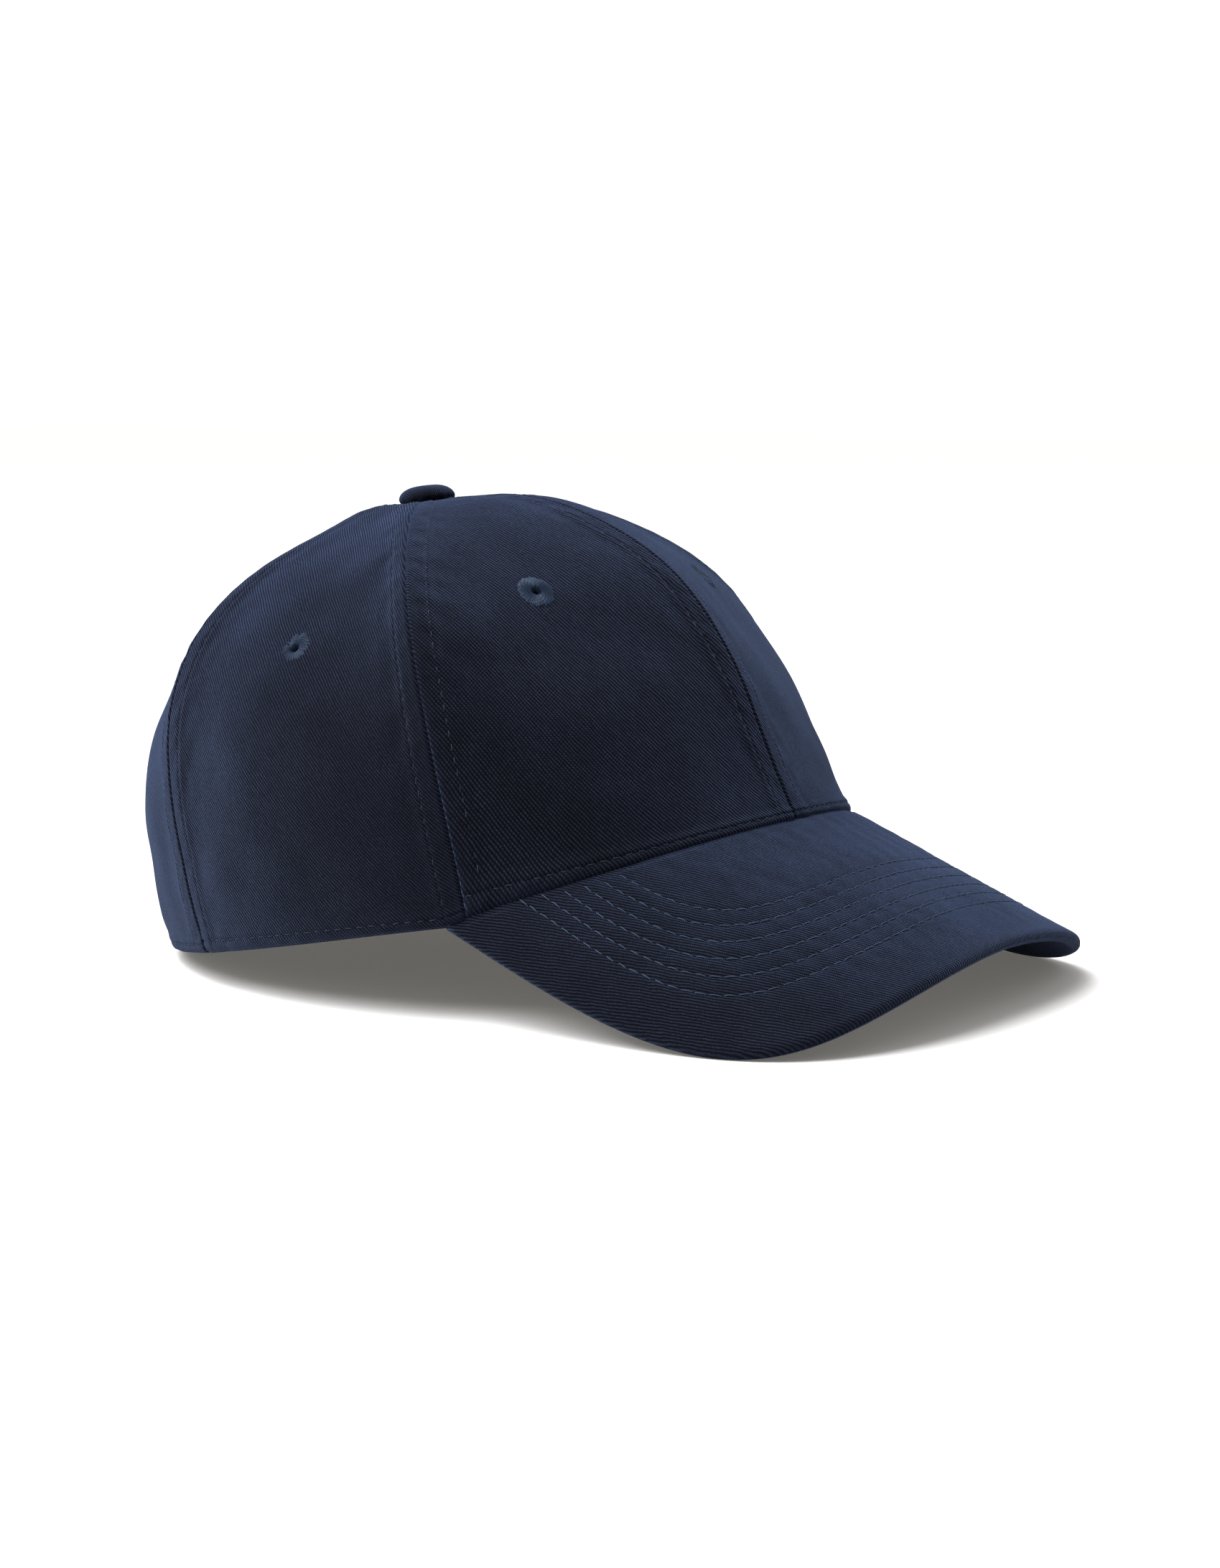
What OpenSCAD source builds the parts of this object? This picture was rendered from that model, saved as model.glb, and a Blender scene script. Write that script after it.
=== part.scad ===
// Six-panel baseball cap with a stitched curved peak and an adjustable strap at the back.
// It rests as it does on a table: on its rear hem and on the two low lobes of the peak.
// +Z is up, the peak points to -Y, and the wearer's right is -X.

/* [Crown] */
// Mean radius of the head opening; 2 * PI times this is the cap's size
head_radius = 92.9; // [89:0.1:97]
// How much longer than wide the opening is
plan_oval = 2.8; // [0:0.1:5]
// How much narrower the front of the opening is than its back
plan_egg = -1.9; // [-2.5:0.1:0]
// Height of the crown above the rear hem
crown_height = 101; // [96:0.2:106]
// Distance of the button behind the middle of the opening
apex_y = 1.3; // [0:0.1:5]
// How far the seams stand out from the middles of the panels, as a share of the radius
panel_fullness = 0.08; // [0:0.005:0.1]
// Thickness of the twill panels
panel_t = 0.9; // [0.8:0.05:1]

/* [Seams] */
// Plan angle from the front seam to the seam between front and side panels
side_seam = 66; // [60:0.1:70]
// Plan angle from the front seam to the seam between side and back panels
back_seam = 114; // [108:0.1:120]
// Width of the tape over each seam inside
tape_w = 12; // [10:0.5:12]

/* [Peak] */
// Length of the peak in front of the crown, along its slope
peak_length = 66.8; // [60:0.1:75]
// Radius of the peak's curve from side to side, at its middle
peak_radius = 123.5; // [118:0.5:130]
// Slope of the peak below the plane of the rear hem
peak_slope = 36.1; // [30:0.1:40]
// Height of the peak's root at the front, above the plane of the rear hem
peak_level = -3.4; // [-8:0.1:0]
// Plan angle at which the peak's side edges meet the crown
corner_angle = 70; // [68:0.1:71]
// Thickness of the peak with its two covers
peak_t = 3.6; // [3.4:0.1:4]
// Thickness of each peak cover
cover_t = 0.8; // [0.7:0.05:0.9]

/* [Button and eyelets] */
// Radius of the covered button
button_r = 7.6; // [7:0.1:8]
// Height of the covered button
button_h = 5; // [4.6:0.1:6]
// Outer radius of the embroidered eyelets
eyelet_r = 4.8; // [4:0.1:5]
// Radius of the hole in each eyelet
eyelet_hole_r = 1.1; // [0.8:0.1:1.5]

/* [Back closure] */
// Half width of the arched opening at the back
arch_r = 42; // [38:0.5:44]
// Height of the straight lower part of the arch
arch_leg = 8; // [4:0.5:12]
// Width of the strap
strap_w = 19; // [16:0.5:20]
// Thickness of the strap
strap_t = 1.2; // [1:0.1:1.3]
// Plan angle at which the buckle's hinge pin stands, on the wearer's left
pin_angle = -10.5; // [-13:0.5:-8]

/* [Resting pose] */
// Angle by which the crown leans back on its rear hem
lean = 14.5; // [13:0.1:16.5]

/* [Hidden] */

navy = [0.16, 0.18, 0.24];
navy_dark = [0.11, 0.12, 0.17];
thread_blue = [0.25, 0.33, 0.46];
off_white = [0.85, 0.84, 0.8];
nickel = [0.62, 0.61, 0.58];

right = 1;   // side factor for the wearer's right, where plan angles count up
left = -1;

// Layers of the crown, as insets from its outer surface
layer_gap = 0.1;
buckram_in = panel_t + layer_gap;
buckram_t = 0.7;
tape_in = buckram_in + buckram_t + 0.3;
tape_t = 0.5;
strap_in = 2.7;
band_in = 4.4;
band_t = 0.8;
foam_t = 1.2;

// The fourth harmonic keeps the rear of the opening close to one circle
plan_fourth = (6 * plan_egg - plan_oval) / 20;

// ---- Shape of the opening: a support function of the plan angle, 0 at the front ----

function support(u) = head_radius + plan_oval * cos(2 * u) + plan_egg * cos(3 * u)
                    + plan_fourth * cos(4 * u);
function support_slope(u) = -2 * plan_oval * sin(2 * u) - 3 * plan_egg * sin(3 * u)
                          - 4 * plan_fourth * sin(4 * u);
function plan_x(u, inset) = -(support(u) - inset) * sin(u) - support_slope(u) * cos(u);
function plan_y(u, inset) = -(support(u) - inset) * cos(u) + support_slope(u) * sin(u);

front_y = plan_y(0, 0);
rear_radius = head_radius - 3 * plan_oval + 8 * plan_egg - 15 * plan_fourth;
rear_centre_y = plan_y(180, 0) - rear_radius;

// ---- Shape of the peak: a sloping sheet bent from side to side ----
// In the flat it is measured by s across from its middle and by q forward from the crown.

peak_tighten = 3.8e-7;    // how fast its curve tightens towards the sides
bend_steps = 12;
// Angle by which the sheet has turned down at s
function heading(s) = (s / peak_radius + peak_tighten * s^3) * 180 / PI;
function sum(list) = list * [for (v = list) 1];
// Place of s in the cross-section, as distance across and height
function bent(s) =
    let (turns = [for (i = [0.5 : bend_steps]) heading(s * i / bend_steps)], part = s / bend_steps)
    [part * sum([for (a = turns) cos(a)]), -part * sum([for (a = turns) sin(a)])];
// The s that lies at a distance across, by Newton's method
function flat_s(x, s = 0, tries = 6) =
    tries == 0 ? s : flat_s(x, s + (x - bent(s)[0]) / cos(heading(s)), tries - 1);
function flat_q(y) = (front_y - y) / cos(peak_slope);
function peak_top_z(x, y) = peak_level + bent(flat_s(x))[1] - (front_y - y) * tan(peak_slope);
function unit(v) = v / norm(v);

function peak_point(s, q, depth) =
    let (a = heading(s), across = bent(s),
         up = unit([sin(a) * cos(peak_slope), -cos(a) * sin(peak_slope), cos(a) * cos(peak_slope)]))
    [across[0], front_y - q * cos(peak_slope), peak_level + across[1] - q * sin(peak_slope)]
    - depth * up;

corner_s = abs(flat_s(plan_x(corner_angle, 0)));
corner_q = flat_q(plan_y(corner_angle, 0));
side_bulge = 4.4;     // how far the side edges bow outwards
side_power = 0.84;    // shape of the rounded outline
front_power = 0.73;

function edge_s(phi) = corner_s * sign(phi) * pow(abs(sin(phi)), side_power)
                     + side_bulge * sin(2 * phi);
function edge_q(phi) = corner_q + (peak_length - corner_q) * pow(abs(cos(phi)), front_power);
// A point of the outline moved inwards by off, along the normal in the flat
function edge_point(phi, off) =
    let (step = 0.4, lo = max(phi - step, -90), hi = min(phi + step, 90),
         along = unit([edge_s(hi) - edge_s(lo), edge_q(hi) - edge_q(lo)]))
    [edge_s(phi) + along[1] * off, edge_q(phi) - along[0] * off];
// The inner outline of the peak, hidden under the crown's lower edge
function root_point(phi, inset) =
    let (u = -asin(sin(corner_angle) * pow(abs(sin(phi)), side_power)) * sign(phi))
    [flat_s(plan_x(u, inset)), flat_q(plan_y(u, inset))];

// ---- Shape of the crown: quartic profiles from the hem to the button ----

// A plan angle as its distance from the front, the same on both sides
function turn(u) = abs(u) > 180 ? 360 - abs(u) : abs(u);

hem_sag = 2.2;    // how far the hem hangs below an even rise from the back to the peak
function hem_z(u, inset) =
    let (a = min(turn(u), corner_angle),
         on_peak = peak_top_z(plan_x(a, inset), plan_y(a, inset)),
         back = max(0, turn(u) - corner_angle) / (180 - corner_angle))
    on_peak * (1 - back)^2 - hem_sag * sin(180 * back);

function swing(k, u) = k[0] + k[1] * cos(u) + k[2] * cos(2 * u);
flare = [0.058, -0.088, 0.022];
start_rise = [0.377, -0.263, -0.016];
shoulder_reach = [0.894, 0.157, -0.161];
shoulder_rise = [0.693, -0.252, -0.108];
top_reach = [0.509, 0.243, 0];

function reach(t, u) = (1 - t)^4 + 4 * (1 - t)^3 * t * (1 + swing(flare, u))
                     + 6 * (1 - t)^2 * t^2 * swing(shoulder_reach, u)
                     + 4 * (1 - t) * t^3 * swing(top_reach, u);
function rise(t, u) = 4 * (1 - t)^3 * t * swing(start_rise, u)
                    + 6 * (1 - t)^2 * t^2 * swing(shoulder_rise, u)
                    + 4 * (1 - t) * t^3 + t^4;

// 0 at the front seam, 1 and 2 at the next seams, 3 at the rear seam
function seam_count(u) =
    let (a = turn(u))
    a < side_seam ? a / side_seam
    : a < back_seam ? 1 + (a - side_seam) / (back_seam - side_seam)
    : 2 + (a - back_seam) / (180 - back_seam);
fullness_bias = 1.55;
// Largest at the seams, where the crown has ridges, and smallest midway between them
function ridge(u) = let (k = seam_count(u), part = k - floor(min(k, 2.999999)))
    2 * (2 * part - 1)^2 - 1;
function fullness(t, u) = 1 + panel_fullness * ridge(u) * sin(180 * pow(t, fullness_bias))^2;

// t runs from 0 at the hem to 1 at the button; inset is measured inwards
function crown_point(u, t, inset) =
    let (w = reach(t, u) * fullness(t, u), z0 = hem_z(u, inset))
    [plan_x(u, inset) * w, apex_y + (plan_y(u, inset) - apex_y) * w,
     z0 + (crown_height - inset - z0) * rise(t, u)];

// The t at which a profile has risen by a height above the hem, found by halving
function t_at(u, up, lo = 0, hi = 0.6, tries = 12) =
    let (mid = (lo + hi) / 2)
    tries == 0 ? mid
    : (crown_height - hem_z(u, 0)) * rise(mid, u) < up ? t_at(u, up, mid, hi, tries - 1)
    : t_at(u, up, lo, mid, tries - 1);
// A point inside the crown at a plan angle and inset, at a height above the hem: it follows
// the wall where it leans in, and stands upright where the wall bulges out
function crown_lift(u, inset, up) =
    let (t = t_at(u, up), w = min(1, reach(t, u) * fullness(t, u)), z0 = hem_z(u, inset))
    [plan_x(u, inset) * w, apex_y + (plan_y(u, inset) - apex_y) * w,
     z0 + (crown_height - inset - z0) * rise(t, u)];

// ---- Solids ----

function steps(from, to, count) = [for (i = [0 : count]) from + (to - from) * i / count];

// A thin solid between two grids of points; the outer grid runs to the right of its rows
module slab(outer, inner) {
    rows = len(outer);
    cols = len(outer[0]);
    points = [for (row = outer) each row, for (row = inner) each row];
    total = rows * cols;
    function o(i, j) = i * cols + j;
    function n(i, j) = total + i * cols + j;
    function quad(a, b, c, d) = [[a, b, c], [a, c, d]];
    m = rows - 1;
    k = cols - 1;
    polyhedron(points = points, faces = [
        for (i = [0 : m - 1]) for (j = [0 : k - 1])
            each quad(o(i, j), o(i + 1, j), o(i + 1, j + 1), o(i, j + 1)),
        for (i = [0 : m - 1]) for (j = [0 : k - 1])
            each quad(n(i, j), n(i, j + 1), n(i + 1, j + 1), n(i + 1, j)),
        for (j = [0 : k - 1]) each quad(o(0, j), o(0, j + 1), n(0, j + 1), n(0, j)),
        for (j = [0 : k - 1]) each quad(o(m, j + 1), o(m, j), n(m, j), n(m, j + 1)),
        for (i = [0 : m - 1]) each quad(o(i + 1, 0), o(i, 0), n(i, 0), n(i + 1, 0)),
        for (i = [0 : m - 1]) each quad(o(i, k), o(i + 1, k), n(i + 1, k), n(i, k))
    ]);
}

// A stretch of crown wall between two plan angles, two heights and two insets
module crown_shell(us, ts, from_inset, to_inset) {
    slab([for (u = us) [for (t = ts) crown_point(u, t, from_inset)]],
         [for (u = us) [for (t = ts) crown_point(u, t, to_inset)]]);
}

// ---- Grids of the panels and of the peak ----

crown_top_t = 0.985;      // the panels end here, round the button's shank
panel_rows = 12;
panel_cols = 16;
seam_slack = 0.03;        // half the gap between neighbouring panels, in degrees

peak_rows = 32;
edge_round = peak_t / 2;
root_inset = 2;
hem_gap = 0.15;          // between the peak and the hem that stands on it

// Depth of the upper skin at a distance w from the rim, rounded at the rim
function skin_depth(w) = w >= edge_round ? 0 : edge_round - sqrt(edge_round^2 - (edge_round - w)^2);

// Flat places across the peak, from the rim (w small) to the root, for one outline angle
rim_steps = [0, 0.25, 0.8, edge_round];
function peak_column(phi) =
    let (rim = edge_point(phi, edge_round), root = root_point(phi, root_inset))
    [for (w = rim_steps) each [concat(edge_point(phi, w), [w])],
     for (k = [0.2, 0.45, 0.7, 1]) [rim[0] + (root[0] - rim[0]) * k,
                                    rim[1] + (root[1] - rim[1]) * k, edge_round]];
peak_phis = steps(90, -90, peak_rows);

// ---- Resting pose ----

// Lowest and furthest points of the resting cap set its lift and its place along Y
function leant(p) = [p[0], p[1] * cos(lean) + p[2] * sin(lean),
                     p[2] * cos(lean) - p[1] * sin(lean)];
hem_low = min([for (u = [90 : 2 : 180]) leant(crown_point(u, 0, 0))[2]]);
lobe_low = min([for (phi = peak_phis)
                for (w = rim_steps)
                let (e = edge_point(phi, w))
                leant(peak_point(e[0], e[1], peak_t - skin_depth(w)))[2]]);
lift = -min(hem_low, lobe_low);
front_end = min([for (phi = [0 : 2.5 : 40])
                 let (e = edge_point(phi, 0)) leant(peak_point(e[0], e[1], peak_t / 2))[1]]);
// The furthest point behind lies on the binding of the arched opening
binding_w = 2.4;
binding_out = 0.4;        // how far the binding stands proud of the panels
back_end = max([for (u = [back_seam : 1 : 180])
                for (t = [0 : 0.01 : 0.5])
                let (p = crown_point(u, t, -binding_out))
                if (norm([p[0], max(0, p[2] - arch_leg)]) > arch_r - binding_w) leant(p)[1]]);

module seated() {
    translate([0, -(front_end + back_end) / 2, lift]) rotate([-lean, 0, 0]) children();
}

// ---- Crown ----

// The grid lines of a panel, in rising order on either side
function panel_us(side, from_u, to_u) =
    side == right ? steps(from_u + seam_slack, to_u - seam_slack, panel_rows)
                  : steps(-to_u + seam_slack, -from_u - seam_slack, panel_rows);
panel_ts = steps(0, crown_top_t, panel_cols);

module panel(side, from_u, to_u) {
    crown_shell(panel_us(side, from_u, to_u), panel_ts, 0, panel_t);
}

front_eyelet = [side_seam / 2, 0.61];
side_eyelet = [(side_seam + back_seam) / 2, 0.465];
back_eyelet = [(back_seam + 180) / 2, 0.56];

// Places its child on the crown at a plan angle and height, with +Z outwards
module on_crown(side, place) {
    here = crown_point(side * place[0], place[1], 0);
    across = crown_point(side * place[0] + 1, place[1], 0) - here;
    along = crown_point(side * place[0], place[1] + 0.01, 0) - here;
    out = unit(cross(along, across));
    translate(here)
        rotate([0, acos(out[2]), atan2(out[1], out[0])])
            children();
}

eyelet_gap = 0.05;
punch_h = 10;
module eyelet_hole(side, place) {
    on_crown(side, place)
        cylinder(r = eyelet_r + eyelet_gap, h = punch_h, center = true, $fn = 48);
}

module panel_front(side) {
    color(navy) seated() difference() {
        panel(side, 0, side_seam);
        eyelet_hole(side, front_eyelet);
    }
}

module panel_side(side) {
    color(navy) seated() difference() {
        panel(side, side_seam, back_seam);
        eyelet_hole(side, side_eyelet);
    }
}

arch_gap = 0.1;           // between the panels' cut edge and the binding over it
module panel_back(side) {
    color(navy) seated() difference() {
        panel(side, back_seam, 180);
        eyelet_hole(side, back_eyelet);
        arch_prism(arch_r + arch_gap);
    }
}

// The arched opening, as a prism that runs through the rear wall
below_hem = 20;
module arch_prism(r) {
    translate([0, rear_centre_y + rear_radius / 2, 0]) {
        translate([0, 0, arch_leg]) rotate([-90, 0, 0]) cylinder(r = r, h = rear_radius, $fn = 96);
        translate([-r, 0, -below_hem]) cube([2 * r, rear_radius, below_hem + arch_leg]);
    }
}

binding_span = 35;        // plan angle it reaches to either side of the rear seam
binding_top_t = 0.62;
binding_in = 0.2;         // how far it stands in from the panels
module arch_binding() {
    us = steps(180 - binding_span, 180 + binding_span, 14);
    color(navy_dark) seated() difference() {
        intersection() {
            crown_shell(us, steps(0, binding_top_t, 12), -binding_out, panel_t + binding_in);
            arch_prism(arch_r);
        }
        arch_prism(arch_r - binding_w);
    }
}

// The stiffener lies on the grid lines of its panel, short of the side seam and the hem
module buckram(side) {
    all_us = panel_us(side, 0, side_seam);
    us = [for (i = side == right ? [0 : panel_rows - 1] : [1 : panel_rows]) all_us[i]];
    ts = [for (i = [1 : panel_cols - 2]) panel_ts[i]];
    color(off_white) seated() difference() {
        crown_shell(us, ts, buckram_in, buckram_in + buckram_t);
        eyelet_hole(side, front_eyelet);
    }
}

// A tape of even width along one seam, creased down its middle
tape_low_t = 0.03;
tape_top_t = 0.91;
rear_tape_low_t = 0.45;   // the rear tape starts above the arch
module seam_tape(u, low_t) {
    ts = steps(low_t, tape_top_t, 14);
    function half(t) = tape_w / 2 / (head_radius * reach(t, u)) * 180 / PI;
    function side_point(k, t, inset) = crown_point(u + k * half(t), t, inset);
    color(navy_dark) seated()
        slab([for (k = [-1, 0, 1]) [for (t = ts) side_point(k, t, tape_in)]],
             [for (k = [-1, 0, 1]) [for (t = ts) side_point(k, t, tape_in + tape_t)]]);
}

// ---- Sweatband, with its flange sewn to the hem ----

band_h = 32;
band_end = 148;
flange_in = panel_t + 0.3;
flange_low = 0.3;         // the flange starts just above the hem
band_count = 48;
band_step = 2 * band_end / band_count;
module sweatband() {
    us = steps(-band_end, band_end, band_count);
    // each row is a section: hem flange first, then up the band
    function section(u, out, low) = [
        crown_lift(u, flange_in, low), crown_lift(u, out, low), crown_lift(u, out, band_h / 2),
        crown_lift(u, out, band_h)];
    color(navy_dark) seated()
        slab([for (u = us) section(u, band_in, flange_low + band_t)],
             [for (u = us) section(u, band_in + band_t, flange_low)]);
}

foam_gap = 0.4;           // between the foam and the band in front of it
foam_low = 3;
foam_high = band_h - 4;
module brow_foam() {
    count = 18;
    us = steps(-count / 2 * band_step, count / 2 * band_step, count);
    inset = band_in - foam_gap - foam_t;
    heights = [foam_low, band_h / 2, foam_high];
    color("whitesmoke") seated()
        slab([for (u = us) [for (h = heights) crown_lift(u, inset, h)]],
             [for (u = us) [for (h = heights) crown_lift(u, inset + foam_t, h)]]);
}

label_at = -125;          // plan angle of its middle
label_half = 9;
label_low = 8;
label_high = 26;
label_t = 0.4;
label_gap = 0.4;
module inner_label() {
    us = steps(label_at - label_half, label_at + label_half, 4);
    inset = band_in + band_t + label_gap;
    heights = [label_low, label_high];
    color(off_white) seated()
        slab([for (u = us) [for (h = heights) crown_lift(u, inset, h)]],
             [for (u = us) [for (h = heights) crown_lift(u, inset + label_t, h)]]);
}

// ---- Eyelets and button ----

worked_in = 0.3;          // how far the worked ring stands in from the panel
worked_out = 0.7;         // and how far its middle stands out
worked_soft = 0.3;        // size of its soft corners
module eyelet(side, place) {
    across = eyelet_r - eyelet_hole_r;
    face = worked_in + panel_t;
    on_crown(side, place)
        rotate_extrude($fn = 48)
            translate([eyelet_hole_r, -face])
                polygon([[0, worked_soft], [worked_soft, 0], [across - worked_soft, 0],
                         [across, worked_soft], [across, face + 0.1],
                         [across / 2, face + worked_out], [worked_soft, face + 0.4],
                         [0, face]]);
}

module eyelets() {
    color(thread_blue) seated()
        for (side = [left, right])
            for (place = [front_eyelet, side_eyelet, back_eyelet])
                eyelet(side, place);
}

pillow_waist = 0.35;      // height of its widest place, as a share of its own height
// A pillow-shaped profile of the given radius and height, cut off below
function pillow(r, h) = [for (a = [-30 : 10 : 80])
    [r * pow(cos(a), 0.7),
     h * (pillow_waist + (1 - pillow_waist) * sign(a) * pow(abs(sin(a)), 1.1))]];

button_base = crown_height + 0.25;
button_cover_t = 0.8;
shell_t = 0.5;
turned_in = 0.8;          // how far the dome's lower edge turns in

module dome_shell(r, h, t) {
    rotate_extrude($fn = 64) difference() {
        polygon([[0, 0], each pillow(r, h), [0, h]]);
        polygon([[0, -1], [r - t - turned_in, -1], each pillow(r - t, h - t), [0, h - t]]);
    }
}

module button_cover() {
    color(navy) seated() translate([0, apex_y, button_base])
        dome_shell(button_r, button_h, button_cover_t);
}

fit_gap = 0.05;           // between the parts of the button
module button_shell() {
    inner = button_cover_t + fit_gap;
    color(nickel) seated() translate([0, apex_y, button_base])
        dome_shell(button_r - inner, button_h - inner, shell_t);
}

shank_r = 1.5;
rivet_r = 2.2;            // the shank's head below the washer
rivet_t = 0.5;
washer_r = 6;
washer_t = 0.8;
washer_low = -3;          // underside of the washer, from the button's base
rivet_low = washer_low - 0.1 - rivet_t;
module button_shank() {
    top = button_h - button_cover_t - shell_t - 3 * fit_gap;
    color(nickel) seated() translate([0, apex_y, button_base + rivet_low]) {
        cylinder(r = shank_r, h = top - rivet_low, $fn = 32);
        cylinder(r = rivet_r, h = rivet_t, $fn = 32);
    }
}

module button_washer() {
    color(nickel) seated() translate([0, apex_y, button_base + washer_low])
        difference() {
            cylinder(r = washer_r, h = washer_t, $fn = 48);
            translate([0, 0, -1]) cylinder(r = shank_r + fit_gap, h = washer_t + 2, $fn = 32);
        }
}

// ---- Peak ----

module peak_layer(upper, lower) {
    grid = [for (phi = peak_phis) peak_column(phi)];
    slab([for (column = grid) [for (p = column) peak_point(p[0], p[1], upper(p[2]))]],
         [for (column = grid) [for (p = column) peak_point(p[0], p[1], lower(p[2]))]]);
}

rim_gap = 0.03;           // half the gap between the two covers at the rim
module peak_top_cover() {
    color(navy) seated()
        peak_layer(function(w) max(skin_depth(w), hem_gap),
                   function(w) min(max(skin_depth(w), hem_gap) + cover_t, edge_round - rim_gap));
}

module peak_under_cover() {
    color(navy_dark) seated()
        peak_layer(function(w) max(peak_t - skin_depth(w) - cover_t, edge_round + rim_gap),
                   function(w) peak_t - skin_depth(w));
}

board_margin = 1.6;
board_gap = 0.15;
board_phi = 87;           // the board stops short of the corners
module peak_board() {
    color(off_white) seated() {
        columns = [for (phi = steps(board_phi, -board_phi, peak_rows))
            let (rim = edge_point(phi, board_margin), root = root_point(phi, root_inset))
            [for (k = [0, 0.25, 0.5, 0.75, 0.99]) rim + (root - rim) * k]];
        slab([for (c = columns) [for (p = c) peak_point(p[0], p[1], hem_gap + cover_t + board_gap)]],
             [for (c = columns) [for (p = c) peak_point(p[0], p[1], peak_t - cover_t - board_gap)]]);
    }
}

// ---- Back closure, made of arcs about the rear circle's centre ----

// An arc of the rear wall between two plan angles (+ is the wearer's right), insets and heights
module rear_arc(from_a, to_a, out_inset, in_inset, z0, z1) {
    translate([0, rear_centre_y, 0]) rotate([0, 0, 90 + from_a])
        rotate_extrude(angle = to_a - from_a, $fn = 180)
            translate([rear_radius - in_inset, z0])
                square([in_inset - out_inset, z1 - z0]);
}

// A vertical cylinder at a plan angle and inset of the rear wall
module rear_post(a, inset, r, z0, z1) {
    translate([0, rear_centre_y, 0]) rotate([0, 0, 90 + a])
        translate([rear_radius - inset, 0, z0]) cylinder(r = r, h = z1 - z0, $fn = 40);
}

strap_z = 2.2;
strap_ends = [-41, 42];
module strap() {
    color(navy) seated()
        rear_arc(strap_ends[0], strap_ends[1], strap_in, strap_in + strap_t, strap_z, strap_z + strap_w);
}

frame_play = 0.5;         // between the strap's edges and the buckle's side walls
frame_z = [strap_z - frame_play, strap_z + strap_w + frame_play];
wall_t = 0.8;
wall_out = -0.8;          // inset of the side walls' outer edge
pin_play = 0.02;
pin_stub = 0.2;           // how far the pin stands out of each side wall
frame_span = 15;          // angle covered by the buckle
pin_r = 0.8;
pin_inset = 0.9;
tab_bar = pin_angle - 12.5;
bar_r = 0.9;
bar_inset = 0.4;
bite = 0.1;               // how far the plate and the bar run into the side walls

module buckle_frame() {
    from_a = pin_angle + 2 - frame_span;
    to_a = pin_angle + 2;
    back_in = strap_in + strap_t + 0.3;
    color(nickel) seated() difference() {
        union() {
            rear_arc(from_a + 1, to_a - 1, back_in, back_in + wall_t, frame_z[0] - bite, frame_z[1] + bite);
            for (z = [frame_z[0] - wall_t, frame_z[1]])
                rear_arc(from_a, to_a, wall_out, back_in + wall_t / 2, z, z + wall_t);
            rear_post(tab_bar, bar_inset, bar_r, frame_z[0] - bite, frame_z[1] + bite);
        }
        rear_post(pin_angle, pin_inset, pin_r + pin_play, frame_z[0] - 2, frame_z[1] + 2);
    }
}

module buckle_pin() {
    reach_out = wall_t + pin_stub;
    color(nickel) seated()
        rear_post(pin_angle, pin_inset, pin_r, frame_z[0] - reach_out, frame_z[1] + reach_out);
}

barrel_r = 1.5;
barrel_play = 0.08;
lever_t = 1;
lever_in = pin_inset - barrel_r + 0.1;
lever_end = pin_angle - 9;
lever_play = 0.3;
lip_r = 0.72;
module buckle_lever() {
    z0 = frame_z[0] + lever_play;
    z1 = frame_z[1] - lever_play;
    color(nickel) seated() difference() {
        union() {
            rear_post(pin_angle, pin_inset, barrel_r, z0, z1);
            rear_arc(lever_end, pin_angle, lever_in, lever_in + lever_t, z0 + 0.2, z1 - 0.2);
            // rolled lip at the free end, for a fingernail
            rear_post(lever_end, lever_in + 0.2, lip_r, z0, z1);
        }
        rear_post(pin_angle, pin_inset, pin_r + barrel_play, z0 - 1, z1 + 1);
    }
}

tab_t = 1;
tab_tail = -43;           // plan angle at which its free end is sewn in
tab_play = 0.6;
loop_r = bar_r + 0.1;
module buckle_tab() {
    z0 = strap_z + tab_play;
    z1 = strap_z + strap_w - tab_play;
    color(navy) seated() difference() {
        union() {
            rear_post(tab_bar, bar_inset, loop_r + tab_t, z0, z1);
            rear_arc(tab_tail, tab_bar, bar_inset + loop_r, bar_inset + loop_r + tab_t, z0, z1);
        }
        rear_post(tab_bar, bar_inset, loop_r, z0 - 1, z1 + 1);
    }
}

panel_front(left);  // panel_front_left
panel_front(right);  // panel_front_right
panel_side(left);  // panel_side_left
panel_side(right);  // panel_side_right
panel_back(left);  // panel_back_left
panel_back(right);  // panel_back_right
buckram(left);  // buckram_left
buckram(right);  // buckram_right
seam_tape(0, tape_low_t);  // seam_tape_front
seam_tape(-side_seam, tape_low_t);  // seam_tape_side_left
seam_tape(side_seam, tape_low_t);  // seam_tape_side_right
seam_tape(-back_seam, tape_low_t);  // seam_tape_back_left
seam_tape(back_seam, tape_low_t);  // seam_tape_back_right
seam_tape(180, rear_tape_low_t);  // seam_tape_rear
sweatband();
brow_foam();
inner_label();
arch_binding();
eyelets();
button_cover();
button_shell();
button_shank();
button_washer();
peak_top_cover();
peak_board();
peak_under_cover();
buckle_tab();
buckle_frame();
buckle_pin();
buckle_lever();
strap();
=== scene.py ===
import math

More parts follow.
